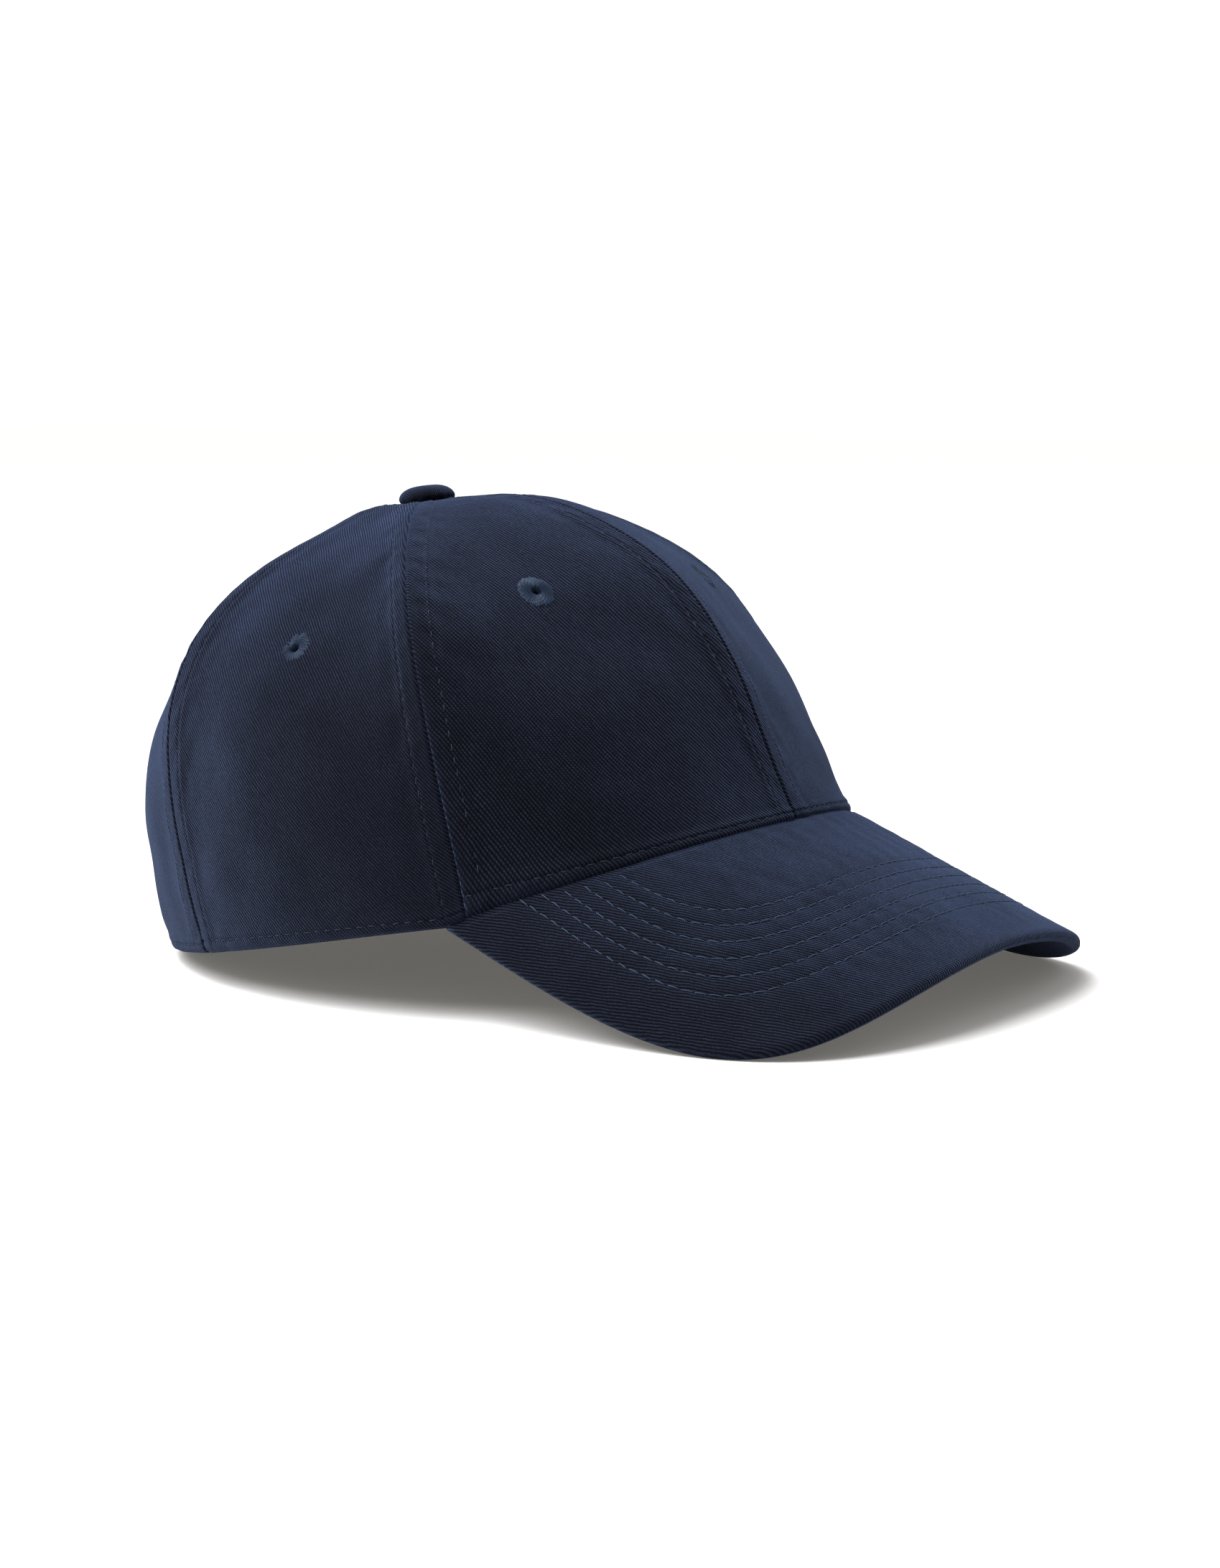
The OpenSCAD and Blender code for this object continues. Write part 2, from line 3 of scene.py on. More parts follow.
import bpy
import numpy as np
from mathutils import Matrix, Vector


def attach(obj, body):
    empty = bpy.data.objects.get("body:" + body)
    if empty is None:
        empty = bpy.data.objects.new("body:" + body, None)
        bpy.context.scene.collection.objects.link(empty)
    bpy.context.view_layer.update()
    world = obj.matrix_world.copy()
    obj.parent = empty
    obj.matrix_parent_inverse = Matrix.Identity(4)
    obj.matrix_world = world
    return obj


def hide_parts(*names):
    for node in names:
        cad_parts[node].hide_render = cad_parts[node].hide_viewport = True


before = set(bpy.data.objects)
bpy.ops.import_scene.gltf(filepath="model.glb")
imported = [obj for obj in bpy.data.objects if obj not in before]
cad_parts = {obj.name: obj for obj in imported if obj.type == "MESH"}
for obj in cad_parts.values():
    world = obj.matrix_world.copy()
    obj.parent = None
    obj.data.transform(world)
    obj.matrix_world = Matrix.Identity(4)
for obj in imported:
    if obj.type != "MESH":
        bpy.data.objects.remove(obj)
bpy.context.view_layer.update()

# ---------------- sizes, in millimetres
# The shape functions repeat those of the CAD, so every piece lies on its node.
HEAD_R, OVAL, EGG = 92.9, 2.8, -1.9
FOURTH = (6 * EGG - OVAL) / 20
CROWN_H, APEX_Y, FULLNESS, PANEL_T = 101.0, 1.3, 0.08, 0.9
SIDE_SEAM, BACK_SEAM, TAPE_W = 66.0, 114.0, 12.0
PEAK_LENGTH, PEAK_R, PEAK_TIGHTEN, PEAK_SLOPE, PEAK_LEVEL = 66.8, 123.5, 3.8e-7, 36.1, -3.4
CORNER, PEAK_T, COVER_T, EDGE_ROUND = 70.0, 3.6, 0.8, 1.8
SIDE_BULGE, SIDE_POWER, FRONT_POWER, ROOT_INSET = 4.4, 0.84, 0.73, 2.0
BUTTON_R, BUTTON_H, EYELET_R, EYELET_HOLE = 7.6, 5.0, 4.8, 1.1
ARCH_R, ARCH_LEG, STRAP_W, STRAP_T, STRAP_Z, STRAP_IN = 42.0, 8.0, 19.0, 1.2, 2.2, 2.7
PIN_ANGLE, LEAN, HEM_SAG, FULL_BIAS = -10.5, 14.5, 2.2, 1.55
FLARE = (0.058, -0.088, 0.022)
START_RISE = (0.377, -0.263, -0.016)
SHOULDER_REACH = (0.894, 0.157, -0.161)
SHOULDER_RISE = (0.693, -0.252, -0.108)
TOP_REACH = (0.509, 0.243, 0.0)
TOP_T = 0.985
EYELETS = {"front": (SIDE_SEAM / 2, 0.61), "side": ((SIDE_SEAM + BACK_SEAM) / 2, 0.465),
           "back": ((BACK_SEAM + 180) / 2, 0.56)}
# how the cloth has settled on the head form: humps as height in mm, place and width
FRONT_BY_HEIGHT = ((3.4, 0.66, 0.155), (0.95, 0.42, 0.13), (-1.7, 0.19, 0.13), (0.7, 0.90, 0.08),
                   (-0.9, 0.08, 0.08))
FRONT_BY_REACH = ((0.8, 46, 18), (-1.0, 17, 8))
REAR_BY_HEIGHT = ((1.6, 0.55, 0.13), (-0.85, 0.24, 0.07), (-0.8, 0.86, 0.10), (0.4, 0.07, 0.05))
CROWN_MIDDLE = np.array([0, APEX_Y, 30])
rad = np.radians


# ---------------- shape functions
def support(u):
    return HEAD_R + OVAL * np.cos(2 * rad(u)) + EGG * np.cos(3 * rad(u)) + FOURTH * np.cos(4 * rad(u))


def support_slope(u):
    return (-2 * OVAL * np.sin(2 * rad(u)) - 3 * EGG * np.sin(3 * rad(u))
            - 4 * FOURTH * np.sin(4 * rad(u)))


def plan_x(u, inset=0.0):
    return -(support(u) - inset) * np.sin(rad(u)) - support_slope(u) * np.cos(rad(u))


def plan_y(u, inset=0.0):
    return -(support(u) - inset) * np.cos(rad(u)) + support_slope(u) * np.sin(rad(u))


FRONT_Y = plan_y(0.0)
REAR_R = HEAD_R - 3 * OVAL + 8 * EGG - 15 * FOURTH
REAR_Y = plan_y(180.0) - REAR_R


def heading(s):
    return s / PEAK_R + PEAK_TIGHTEN * s ** 3


def bent(s):
    s = np.asarray(s, float)
    turns = heading(s[..., None] * (np.arange(12) + 0.5) / 12)
    return np.cos(turns).sum(-1) * s / 12, -np.sin(turns).sum(-1) * s / 12


def flat_s(x):
    x = np.asarray(x, float)
    s = np.zeros_like(x)
    for _ in range(6):
        s = s + (x - bent(s)[0]) / np.cos(heading(s))
    return s


def flat_q(y):
    return (FRONT_Y - y) / np.cos(rad(PEAK_SLOPE))


def peak_top_z(x, y):
    return PEAK_LEVEL + bent(flat_s(x))[1] - (FRONT_Y - y) * np.tan(rad(PEAK_SLOPE))


def peak_point(s, q, depth):
    s, q = np.asarray(s, float), np.asarray(q, float)
    a, (x, z) = heading(s), bent(s)
    slope = rad(PEAK_SLOPE)
    up = np.stack([np.sin(a) * np.cos(slope), -np.cos(a) * np.sin(slope),
                   np.cos(a) * np.cos(slope)], -1)
    up /= np.linalg.norm(up, axis=-1, keepdims=True)
    here = np.stack([x, FRONT_Y - q * np.cos(slope), PEAK_LEVEL + z - q * np.sin(slope)], -1)
    return here - np.asarray(depth, float)[..., None] * up


CORNER_S = abs(float(flat_s(plan_x(CORNER))))
CORNER_Q = float(flat_q(plan_y(CORNER)))


def edge_flat(phi, off):
    """The outline of the peak in the flat, moved inwards by off."""
    def outline(p):
        across = (CORNER_S * np.sign(p) * np.abs(np.sin(rad(p))) ** SIDE_POWER
                  + SIDE_BULGE * np.sin(2 * rad(p)))
        ahead = CORNER_Q + (PEAK_LENGTH - CORNER_Q) * np.abs(np.cos(rad(p))) ** FRONT_POWER
        return np.stack([across, ahead], -1)
    phi = np.asarray(phi, float)
    along = outline(np.minimum(phi + 0.4, 90)) - outline(np.maximum(phi - 0.4, -90))
    along /= np.linalg.norm(along, axis=-1, keepdims=True)
    off = np.asarray(off, float)[..., None]
    return outline(phi) + off * np.stack([along[..., 1], -along[..., 0]], -1)


def root_flat(phi, inset):
    """The peak's edge under the crown, in the flat."""
    u = np.degrees(np.arcsin(np.sin(rad(CORNER)) * np.abs(np.sin(rad(phi))) ** SIDE_POWER))
    u = -u * np.sign(phi)
    return np.stack([flat_s(plan_x(u, inset)), flat_q(plan_y(u, inset))], -1)


def turn(u):
    a = np.abs(u)
    return np.where(a > 180, 360 - a, a)


def hem_z(u, inset=0.0):
    a = np.minimum(turn(u), CORNER)
    back = np.maximum(0, turn(u) - CORNER) / (180 - CORNER)
    return (peak_top_z(plan_x(a, inset), plan_y(a, inset)) * (1 - back) ** 2
            - HEM_SAG * np.sin(np.pi * back))


def swing(k, u):
    return k[0] + k[1] * np.cos(rad(u)) + k[2] * np.cos(2 * rad(u))


def reach(t, u):
    return ((1 - t) ** 4 + 4 * (1 - t) ** 3 * t * (1 + swing(FLARE, u))
            + 6 * (1 - t) ** 2 * t ** 2 * swing(SHOULDER_REACH, u)
            + 4 * (1 - t) * t ** 3 * swing(TOP_REACH, u))


def rise(t, u):
    return (4 * (1 - t) ** 3 * t * swing(START_RISE, u)
            + 6 * (1 - t) ** 2 * t ** 2 * swing(SHOULDER_RISE, u) + 4 * (1 - t) * t ** 3 + t ** 4)


def fullness(t, u):
    """The swell of each panel between its two seams."""
    a = turn(u)
    panel = np.where(a < SIDE_SEAM, a / SIDE_SEAM,
                     np.where(a < BACK_SEAM, 1 + (a - SIDE_SEAM) / (BACK_SEAM - SIDE_SEAM),
                              2 + (a - BACK_SEAM) / (180 - BACK_SEAM)))
    part = panel - np.floor(np.minimum(panel, 2.999999))
    risen = np.sin(np.pi * np.power(np.maximum(t, 0), FULL_BIAS)) ** 2
    return 1 + FULLNESS * (2 * (2 * part - 1) ** 2 - 1) * risen


def crown_cad(u, t, inset=0.0, most=9.0):
    """A point of the CAD's crown wall at a plan angle, a t from hem to button, and an inset."""
    u, t, inset = np.broadcast_arrays(*(np.asarray(v, float) for v in (u, t, inset)))
    w = np.minimum(most, reach(t, u) * fullness(t, u))
    z0 = hem_z(u, inset)
    return np.stack([plan_x(u, inset) * w, APEX_Y + (plan_y(u, inset) - APEX_Y) * w,
                     z0 + (CROWN_H - inset - z0) * rise(t, u)], -1)


def smooth_step(x, lo, hi):
    k = np.clip((x - lo) / (hi - lo), 0, 1)
    return k * k * (3 - 2 * k)


def hump(x, at, width):
    return np.exp(-((x - at) / width) ** 2)


def humps(x, rows):
    return sum(size * hump(x, at, width) for size, at, width in rows)


def settle(u, up, out):
    """How far the cloth has settled outwards from the CAD's wall, in millimetres.

    It depends on the share of the height risen and on the distance out from the button.
    """
    a = turn(u)
    front = (humps(up, FRONT_BY_HEIGHT) + humps(out, FRONT_BY_REACH)) * hump(a, 30, 30)
    rear = humps(up, REAR_BY_HEIGHT) * hump(a, 148, 36)
    around_button = 1.9 * hump(out, 19, 10) * smooth_step(a, 60, 110)
    return front + rear + around_button


def crown(u, t, inset=0.0, most=9.0):
    """The CAD's wall as the cloth settles: outwards low down, upwards near the button."""
    u, t = np.broadcast_arrays(np.asarray(u, float), np.asarray(t, float))
    up = rise(t, u).clip(0, 1)
    tilt = np.pi / 2 * up ** 3
    away = np.stack([-np.sin(rad(u)) * np.cos(tilt), -np.cos(rad(u)) * np.cos(tilt), np.sin(tilt)], -1)
    out = reach(t, u) * HEAD_R
    return crown_cad(u, t, inset, most) + away * settle(u, up, out)[..., None]


def crown_lift(u, inset, up):
    """A point inside the crown at a height above the hem; it never bulges past the hem."""
    u, inset, up = np.broadcast_arrays(*(np.asarray(v, float) for v in (u, inset, up)))
    lo, hi = np.zeros_like(u), np.full_like(u, 0.6)
    for _ in range(12):
        mid = (lo + hi) / 2
        low = (CROWN_H - hem_z(u)) * rise(mid, u) < up
        lo, hi = np.where(low, mid, lo), np.where(low, hi, mid)
    return crown(u, (lo + hi) / 2, inset, most=1.0)


def leant(p):
    c, s = math.cos(rad(LEAN)), math.sin(rad(LEAN))
    return np.stack([p[..., 0], p[..., 1] * c + p[..., 2] * s, p[..., 2] * c - p[..., 1] * s], -1)


def resting_place():
    """The shift along Y and the lift of the resting cap, found as the CAD finds them."""
    hem_low = leant(crown_cad(np.arange(90, 181, 2.0), 0.0))[:, 2].min()
    phi, w = np.meshgrid(np.linspace(90, -90, 33), [0, 0.25, 0.8, EDGE_ROUND])
    flat = edge_flat(phi, w)
    depth = PEAK_T - EDGE_ROUND + np.sqrt(EDGE_ROUND ** 2 - (EDGE_ROUND - w) ** 2)
    lobe_low = leant(peak_point(flat[..., 0], flat[..., 1], depth))[..., 2].min()
    tip = edge_flat(np.arange(0, 41, 2.5), np.zeros(17))
    front_end = leant(peak_point(tip[:, 0], tip[:, 1], np.full(17, PEAK_T / 2)))[:, 1].min()
    u, t = np.meshgrid(np.arange(BACK_SEAM, 181), np.arange(0, 0.505, 0.01))
    p = crown_cad(u, t, -0.4)
    out = np.hypot(p[..., 0], np.maximum(0, p[..., 2] - ARCH_LEG)) > ARCH_R - 2.4
    back_end = leant(p)[..., 1][out].max()
    return -(front_end + back_end) / 2, -min(hem_low, lobe_low)


SHIFT_Y, LIFT = resting_place()


def seated(p):
    """Millimetres on the upright cap to metres in the row frame."""
    return (leant(np.asarray(p, float)) + [0, SHIFT_Y, LIFT]) / 1000


# ---------------- mesh helpers
def soft_noise(p, size, seed, terms=9):
    """A smooth field from -1 to 1 over points, with bumps of about size millimetres."""
    rng = np.random.default_rng(seed)
    waves = rng.normal(size=(terms, 3))
    waves /= np.linalg.norm(waves, axis=1, keepdims=True)
    waves *= (2 * np.pi / size) * rng.uniform(0.6, 1.3, (terms, 1))
    phases = rng.uniform(0, 2 * np.pi, terms)
    return np.sin(p @ waves.T + phases).sum(-1) / math.sqrt(terms) / 1.4


def link_object(name, data):
    obj = bpy.data.objects.new(name, data)
    bpy.context.scene.collection.objects.link(obj)
    return obj


def make_object(name, verts, faces, uv, wear=None):
    """A smooth mesh from points in millimetres, with cloth coordinates and worn places."""
    me = bpy.data.meshes.new(name)
    me.from_pydata(seated(verts).tolist(), [], [list(map(int, f)) for f in faces])
    layer = me.uv_layers.new(name="cloth")
    loop_verts = np.empty(len(me.loops), dtype=np.int64)
    me.loops.foreach_get("vertex_index", loop_verts)
    layer.data.foreach_set("uv", np.asarray(uv, float)[loop_verts].ravel())
    if wear is not None:
        me.attributes.new("wear", "FLOAT", "POINT").data.foreach_set("value", wear)
    me.polygons.foreach_set("use_smooth", [True] * len(me.polygons))
    me.update()
    return link_object(name, me)


def fix_normals(obj):
    """Turns all the faces of a closed mesh over if they point inwards."""
    co = np.array([v.co for v in obj.data.vertices])
    volume = 0.0
    for face in obj.data.polygons:
        v = co[list(face.vertices)]
        volume += (v[0] * np.cross(v[1:-1], v[2:])).sum()
    if volume < 0:
        obj.data.flip_normals()


def shell(outer, inner, keep=None):
    """Vertices and quads of a closed shell between two grids, less the cells not kept."""
    rows, cols = outer.shape[:2]
    total = rows * cols
    index = np.arange(total).reshape(rows, cols)
    quads = np.stack([index[:-1, :-1], index[1:, :-1], index[1:, 1:], index[:-1, 1:]], -1)
    quads = quads.reshape(-1, 4) if keep is None else quads[keep]
    edges = np.concatenate([quads[:, [k, (k + 1) % 4]] for k in range(4)])
    codes, back = edges[:, 0] * total + edges[:, 1], edges[:, 1] * total + edges[:, 0]
    border = edges[~np.isin(codes, back)]
    rim = np.stack([border[:, 1], border[:, 0], border[:, 0] + total, border[:, 1] + total], -1)
    verts = np.concatenate([outer.reshape(-1, 3), inner.reshape(-1, 3)])
    faces = np.concatenate([quads, quads[:, ::-1] + total, rim])
    used = np.unique(faces)
    remap = np.full(2 * total, -1)
    remap[used] = np.arange(len(used))
    verts, faces = verts[used], remap[faces]
    a, b, c = (verts[faces[:, k]] for k in (0, 1, 2))
    d = verts[faces[:, 3]]
    volume = (a * np.cross(b, c)).sum() + (a * np.cross(c, d)).sum()
    if volume < 0:
        faces = faces[:, ::-1]
    return verts, faces, used % total


def shell_object(name, outer, inner, uv, wear=None, keep=None):
    verts, faces, source = shell(outer, inner, keep)
    worn = None if wear is None else wear.reshape(-1)[source]
    return make_object(name, verts, faces, uv.reshape(-1, 2)[source], worn)


def unit(v):
    return v / np.maximum(np.linalg.norm(v, axis=-1, keepdims=True), 1e-9)


def grid_normals(grid):
    """Unit normals of a grid of points, by differences along its rows and columns."""
    return unit(np.cross(np.gradient(grid, axis=0), np.gradient(grid, axis=1)))


def plain_uv(across, up):
    """Cloth coordinates that follow the sheet's own two edges."""
    return np.stack(np.broadcast_arrays(across, up), -1)


def turned_uv(across, up, rib_angle):
    """Cloth coordinates with +x along the ribs, which fall to the right by rib_angle."""
    a = rad(rib_angle)
    return np.stack([across * np.cos(a) - up * np.sin(a), across * np.sin(a) + up * np.cos(a)], -1)


def path_lengths(p):
    return np.concatenate([[0], np.cumsum(np.linalg.norm(np.diff(p, axis=0), axis=1))])


class Threads:
    """Collects the stitches of one piece as short tubes that dip into the cloth at both ends."""
    SIDES, RINGS = 6, 6
    JITTER = 0.06             # how far a stitch's ends stray along the row, in mm

    def __init__(self):
        self.verts, self.faces, self.uv, self.count = [], [], [], 0

    def row(self, points, normals, pitch=2.7, gap=0.55, radius=0.2, lift=0.1, seed=1):
        """A row of stitches along points, lifted off them by lift."""
        lengths = path_lengths(points)
        count = max(1, int(lengths[-1] / pitch))
        pitch = lengths[-1] / count
        rng = np.random.default_rng(seed)
        k = np.linspace(0, 1, self.RINGS)
        ring = np.linspace(0, 2 * np.pi, self.SIDES, endpoint=False)
        arch = np.sin(np.pi * k) ** 0.6
        for n in range(count):
            start = n * pitch + gap / 2 + rng.normal(0, self.JITTER)
            end = (n + 1) * pitch - gap / 2 + rng.normal(0, self.JITTER)
            s = start + (end - start) * k
            mid, up = (np.stack([np.interp(s, lengths, field[:, a]) for a in range(3)], -1)
                       for field in (points, normals))
            up /= np.linalg.norm(up, axis=1, keepdims=True)
            along = np.gradient(mid, axis=0)
            along /= np.linalg.norm(along, axis=1, keepdims=True)
            side = np.cross(along, up)
            skew = 0.07 + rng.normal(0, 0.05)
            height = (arch - 1) * (radius + 0.22) + lift
            mid = mid + up * height[:, None] + side * (skew * (k - 0.5) * 3)[:, None]
            r = radius * (0.72 + 0.28 * arch) * rng.uniform(0.92, 1.08)
            around = (np.cos(ring)[None, :, None] * side[:, None]
                      + 0.8 * np.sin(ring)[None, :, None] * up[:, None])
            self.verts.append((mid[:, None] + around * r[:, None, None]).reshape(-1, 3))
            self.uv.append(np.stack(np.meshgrid(ring * radius, s), -1).reshape(-1, 2))
            self.add_faces()

    def add_faces(self):
        """The sides and the two ends of the tube whose points were just added."""
        base, last = self.count, self.count + (self.RINGS - 1) * self.SIDES
        for i in range(self.RINGS - 1):
            for j in range(self.SIDES):
                a, b = base + i * self.SIDES + j, base + i * self.SIDES + (j + 1) % self.SIDES
                self.faces.append([a, a + self.SIDES, b + self.SIDES, b])
        self.faces.append([base + j for j in range(self.SIDES)])
        self.faces.append([last + j for j in reversed(range(self.SIDES))])
        self.count += self.RINGS * self.SIDES

    def finish(self, name, body, slot_name, material="thread_crown"):
        obj = make_object(name, np.concatenate(self.verts), self.faces, np.concatenate(self.uv))
        dress(obj, body, slot_name, material)


def dress(obj, body, slot_name, material=None):
    obj.data.materials.append(MATERIALS[material or slot_name])
    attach(obj, body)


def cloth_piece(obj, node, slot_name, body="cap", area=None):
    """Lets a sheet of cloth stand for its node."""
    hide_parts(node)
    dress(obj, body, slot_name)


# ---------------- materials
TWILL_PITCH = 0.8             # the materials' ribs, in cloth coordinates
FLOATS_PER_RIB = 1.39         # the yarn's floats along a rib, per width of a rib
# painted sheen: gains by which the base colour grows brighter and bluer where the cloth is seen edge-on
PAINTED_SHEEN_GAIN = (3.7, 4.8, 5.9)    # the nap of washed cotton catches the light where it is seen edge-on
NAVY, INNER_NAVY = (0.0046, 0.0056, 0.0107), (0.0080, 0.0100, 0.0180)


class Nodes:
    """Writes the node tree of a material, or of the world."""

    def __init__(self, owner, shader="Principled BSDF"):
        owner.use_nodes = True
        self.owner, self.tree = owner, owner.node_tree
        self.shader = self.tree.nodes[shader]

    def put(self, socket, value):
        if isinstance(value, bpy.types.NodeSocket):
            self.tree.links.new(value, socket)
        else:
            socket.default_value = value

    def new(self, kind, inputs=None, **settings):
        node = self.tree.nodes.new(kind)
        for key, value in settings.items():
            setattr(node, key, value)
        for key, value in (inputs or {}).items():
            self.put(node.inputs[key], value)
        return node

    def math(self, operation, *values, clamp=False):
        inputs = dict(enumerate(values))
        return self.new("ShaderNodeMath", inputs, operation=operation, use_clamp=clamp).outputs[0]

    def times(self, a, b, clamp=False):
        return self.math("MULTIPLY", a, b, clamp=clamp)

    def scale_add(self, value, gain, offset, clamp=False):
        return self.math("MULTIPLY_ADD", value, gain, offset, clamp=clamp)

    def wave(self, turns):
        """A sine between 0 and 1."""
        return self.scale_add(self.math("SINE", turns), 0.5, 0.5)

    def noise(self, vector, scale, detail=2.0, rough=0.5):
        inputs = {"Vector": vector, "Scale": scale, "Detail": detail, "Roughness": rough}
        return self.new("ShaderNodeTexNoise", inputs).outputs["Fac"]

    def mix(self, fac, a, b, blend="MIX"):
        return self.new("ShaderNodeMix", {0: fac, 6: a, 7: b}, data_type="RGBA", blend_type=blend).outputs[2]

    def stretched(self, vector, scale):
        return self.new("ShaderNodeMapping", {"Vector": vector, "Scale": scale}).outputs["Vector"]

    def split(self, vector):
        return self.new("ShaderNodeSeparateXYZ", {0: vector}).outputs

    def bump(self, height, distance, strength, **more):
        inputs = {"Strength": strength, "Distance": distance, "Height": height, **more}
        return self.new("ShaderNodeBump", inputs).outputs["Normal"]

    def cloth(self):
        return self.new("ShaderNodeUVMap", uv_map="cloth").outputs["UV"]

    def place(self):
        return self.new("ShaderNodeTexCoord").outputs["Object"]

    def seen(self):
        """1 for what the camera sees itself, 0 for light on its way round."""
        return self.new("ShaderNodeLightPath").outputs["Is Camera Ray"]

    def finish(self, inputs):
        for key, value in inputs.items():
            self.put(self.shader.inputs[key], value)
        return self.owner


def new_material(name):
    return Nodes(bpy.data.materials.new(name))


def shade(colour, k):
    return (*(c * k for c in colour), 1.0)


def twill(name, colour, pitch=TWILL_PITCH, contrast=0.86):
    """Cotton twill: ribs across +y of the cloth coordinates, each broken into yarn floats."""
    m = new_material(name)
    cloth, place = m.cloth(), m.place()
    along, across, _ = m.split(cloth)
    wander = m.times(m.math("SUBTRACT", m.noise(cloth, 0.16), 0.5), 0.9)
    turns = m.times(m.math("ADD", across, wander), 2 * math.pi / pitch)
    float_turns = m.math("ADD", m.times(along, FLOATS_PER_RIB * 2 * math.pi / pitch), m.times(turns, 0.255))
    slub = m.noise(m.stretched(cloth, (0.35, 2.4, 1.0)), 1.0, 3.0, 0.6)
    height = m.times(m.wave(turns), m.scale_add(m.wave(float_turns), 0.42, 0.58))
    height = m.times(height, m.scale_add(slub, 1.1, 0.45))
    # painted shade and highlight: the colour follows the height of the ribs, darker in their valleys and
    # lighter on their crests
    ribs = m.mix(m.math("POWER", height, 1.25, clamp=True), shade(colour, 1 - contrast),
                 shade(colour, 1 + 2.6 * contrast))
    patches = m.scale_add(m.noise(place, 60.0, 4.0, 0.6), 1.1, 0.45)
    patches = m.times(patches, m.scale_add(m.noise(cloth, 1.2, 2.0, 0.6), 2.0, 0.0))
    # painted sheen: the base colour is brightened by how edge-on the surface is seen
    painted_sheen = m.math("POWER", m.new("ShaderNodeLayerWeight").outputs["Facing"], 2.3)
    gains = {k: m.times(patches, m.scale_add(painted_sheen, gain, 1.0)) for k, gain in enumerate(PAINTED_SHEEN_GAIN)}
    base = m.mix(1.0, ribs, m.new("ShaderNodeCombineXYZ", gains).outputs[0], blend="MULTIPLY")
    worn = m.new("ShaderNodeAttribute", attribute_name="wear").outputs["Fac"]
    fade = m.times(m.times(worn, 0.4), m.scale_add(slub, 0.8, 0.4), clamp=True)
    faded = (colour[0], colour[1] * 1.12, colour[2] * 1.2)
    fuzz = m.bump(m.noise(cloth, 5.5, 3.0, 0.7), 0.00005, 0.6)
    return m.finish({"Base Color": m.mix(fade, base, shade(faded, 2.6)),
                     "Roughness": m.scale_add(slub, 0.14, 0.76),
                     "Sheen Weight": 0.16, "Sheen Roughness": 0.38, "Sheen Tint": (0.42, 0.58, 1.0, 1.0),
                     "Specular IOR Level": 0.06,
                     "Normal": m.bump(height, 0.00026, 0.9, Normal=fuzz)})


def thread(name, colour, twist=0.55, sheen=0.25, rough=0.5):
    """Twisted thread: the plies wind round +y of the cloth coordinates."""
    m = new_material(name)
    across, along, _ = m.split(m.cloth())
    ply = m.wave(m.scale_add(along, 2 * math.pi / twist, m.times(across, 5.0)))
    # painted shade: the thread is coloured darker in the grooves between its plies and lighter on their
    # ridges
    base = m.mix(ply, shade(colour, 0.62), shade(colour, 1.3))
    dull = m.times(m.noise(m.place(), 260.0, 2.0, 0.6), 0.5)
    return m.finish({"Base Color": m.mix(dull, base, shade(colour, 0.55)),
                     "Roughness": m.scale_add(ply, -0.1, rough + 0.1),
                     "Sheen Weight": sheen, "Sheen Tint": (0.5, 0.68, 1.0, 1.0),
                     "Specular IOR Level": 0.2, "Normal": m.bump(ply, 0.00006, 0.8)})


def plain_weave(name, colour, pitch=0.5, contrast=0.35, rough=0.8, relief=0.00012):
    m = new_material(name)
    across, along, _ = m.split(m.cloth())
    waves = [m.math("SINE", m.times(way, math.pi / pitch)) for way in (across, along)]
    weave = m.scale_add(m.times(*waves), 0.5, 0.5)
    tone = m.scale_add(m.noise(m.place(), 60.0, 3.0), 0.4, 0.6)
    # painted shade, with a random tone: the colour follows the height of the weave, darker where the yarns
    # dip and lighter where they cross
    base = m.mix(m.times(weave, tone, clamp=True), shade(colour, 1 - contrast), shade(colour, 1 + contrast))
    return m.finish({"Base Color": base, "Roughness": m.scale_add(weave, 0.1, rough - 0.05),
                     "Sheen Weight": 0.1, "Specular IOR Level": 0.1,
                     "Normal": m.bump(weave, relief, 0.8)})


def foam(name, colour):
    m = new_material(name)
    cells = m.new("ShaderNodeTexVoronoi", {"Vector": m.place(), "Scale": 1400.0}).outputs["Distance"]
    # painted shade: the colour is darker in the pits of the foam's cells, where the bump also dips
    return m.finish({"Base Color": m.mix(cells, shade(colour, 0.7), shade(colour, 1.1)),
                     "Roughness": 0.9, "Normal": m.bump(cells, 0.0002, 0.7)})


def metal(name, colour, rough=0.32):
    """Brushed and slightly tarnished metal."""
    m = new_material(name)
    place = m.place()
    brush = m.noise(m.stretched(place, (60.0, 60.0, 2400.0)), 1.0, 2.0, 0.6)
    blotch = m.noise(place, 240.0, 4.0, 0.6)
    base = m.mix(m.scale_add(blotch, 1.6, -0.45, clamp=True), shade(colour, 0.5), shade(colour, 1.15))
    return m.finish({"Base Color": m.mix(m.times(brush, 0.3), base, shade(colour, 0.6)),
                     "Metallic": 1.0, "Roughness": m.scale_add(blotch, 0.22, rough - 0.06),
                     "Normal": m.bump(brush, 0.00002, 0.5)})


def board_plastic(name, colour):
    m = new_material(name)
    grain = m.noise(m.place(), 420.0, 3.0, 0.6)
    return m.finish({"Base Color": m.mix(grain, shade(colour, 0.88), shade(colour, 1.05)),
                     "Roughness": m.scale_add(grain, 0.15, 0.5), "Normal": m.bump(grain, 0.00004, 0.4)})


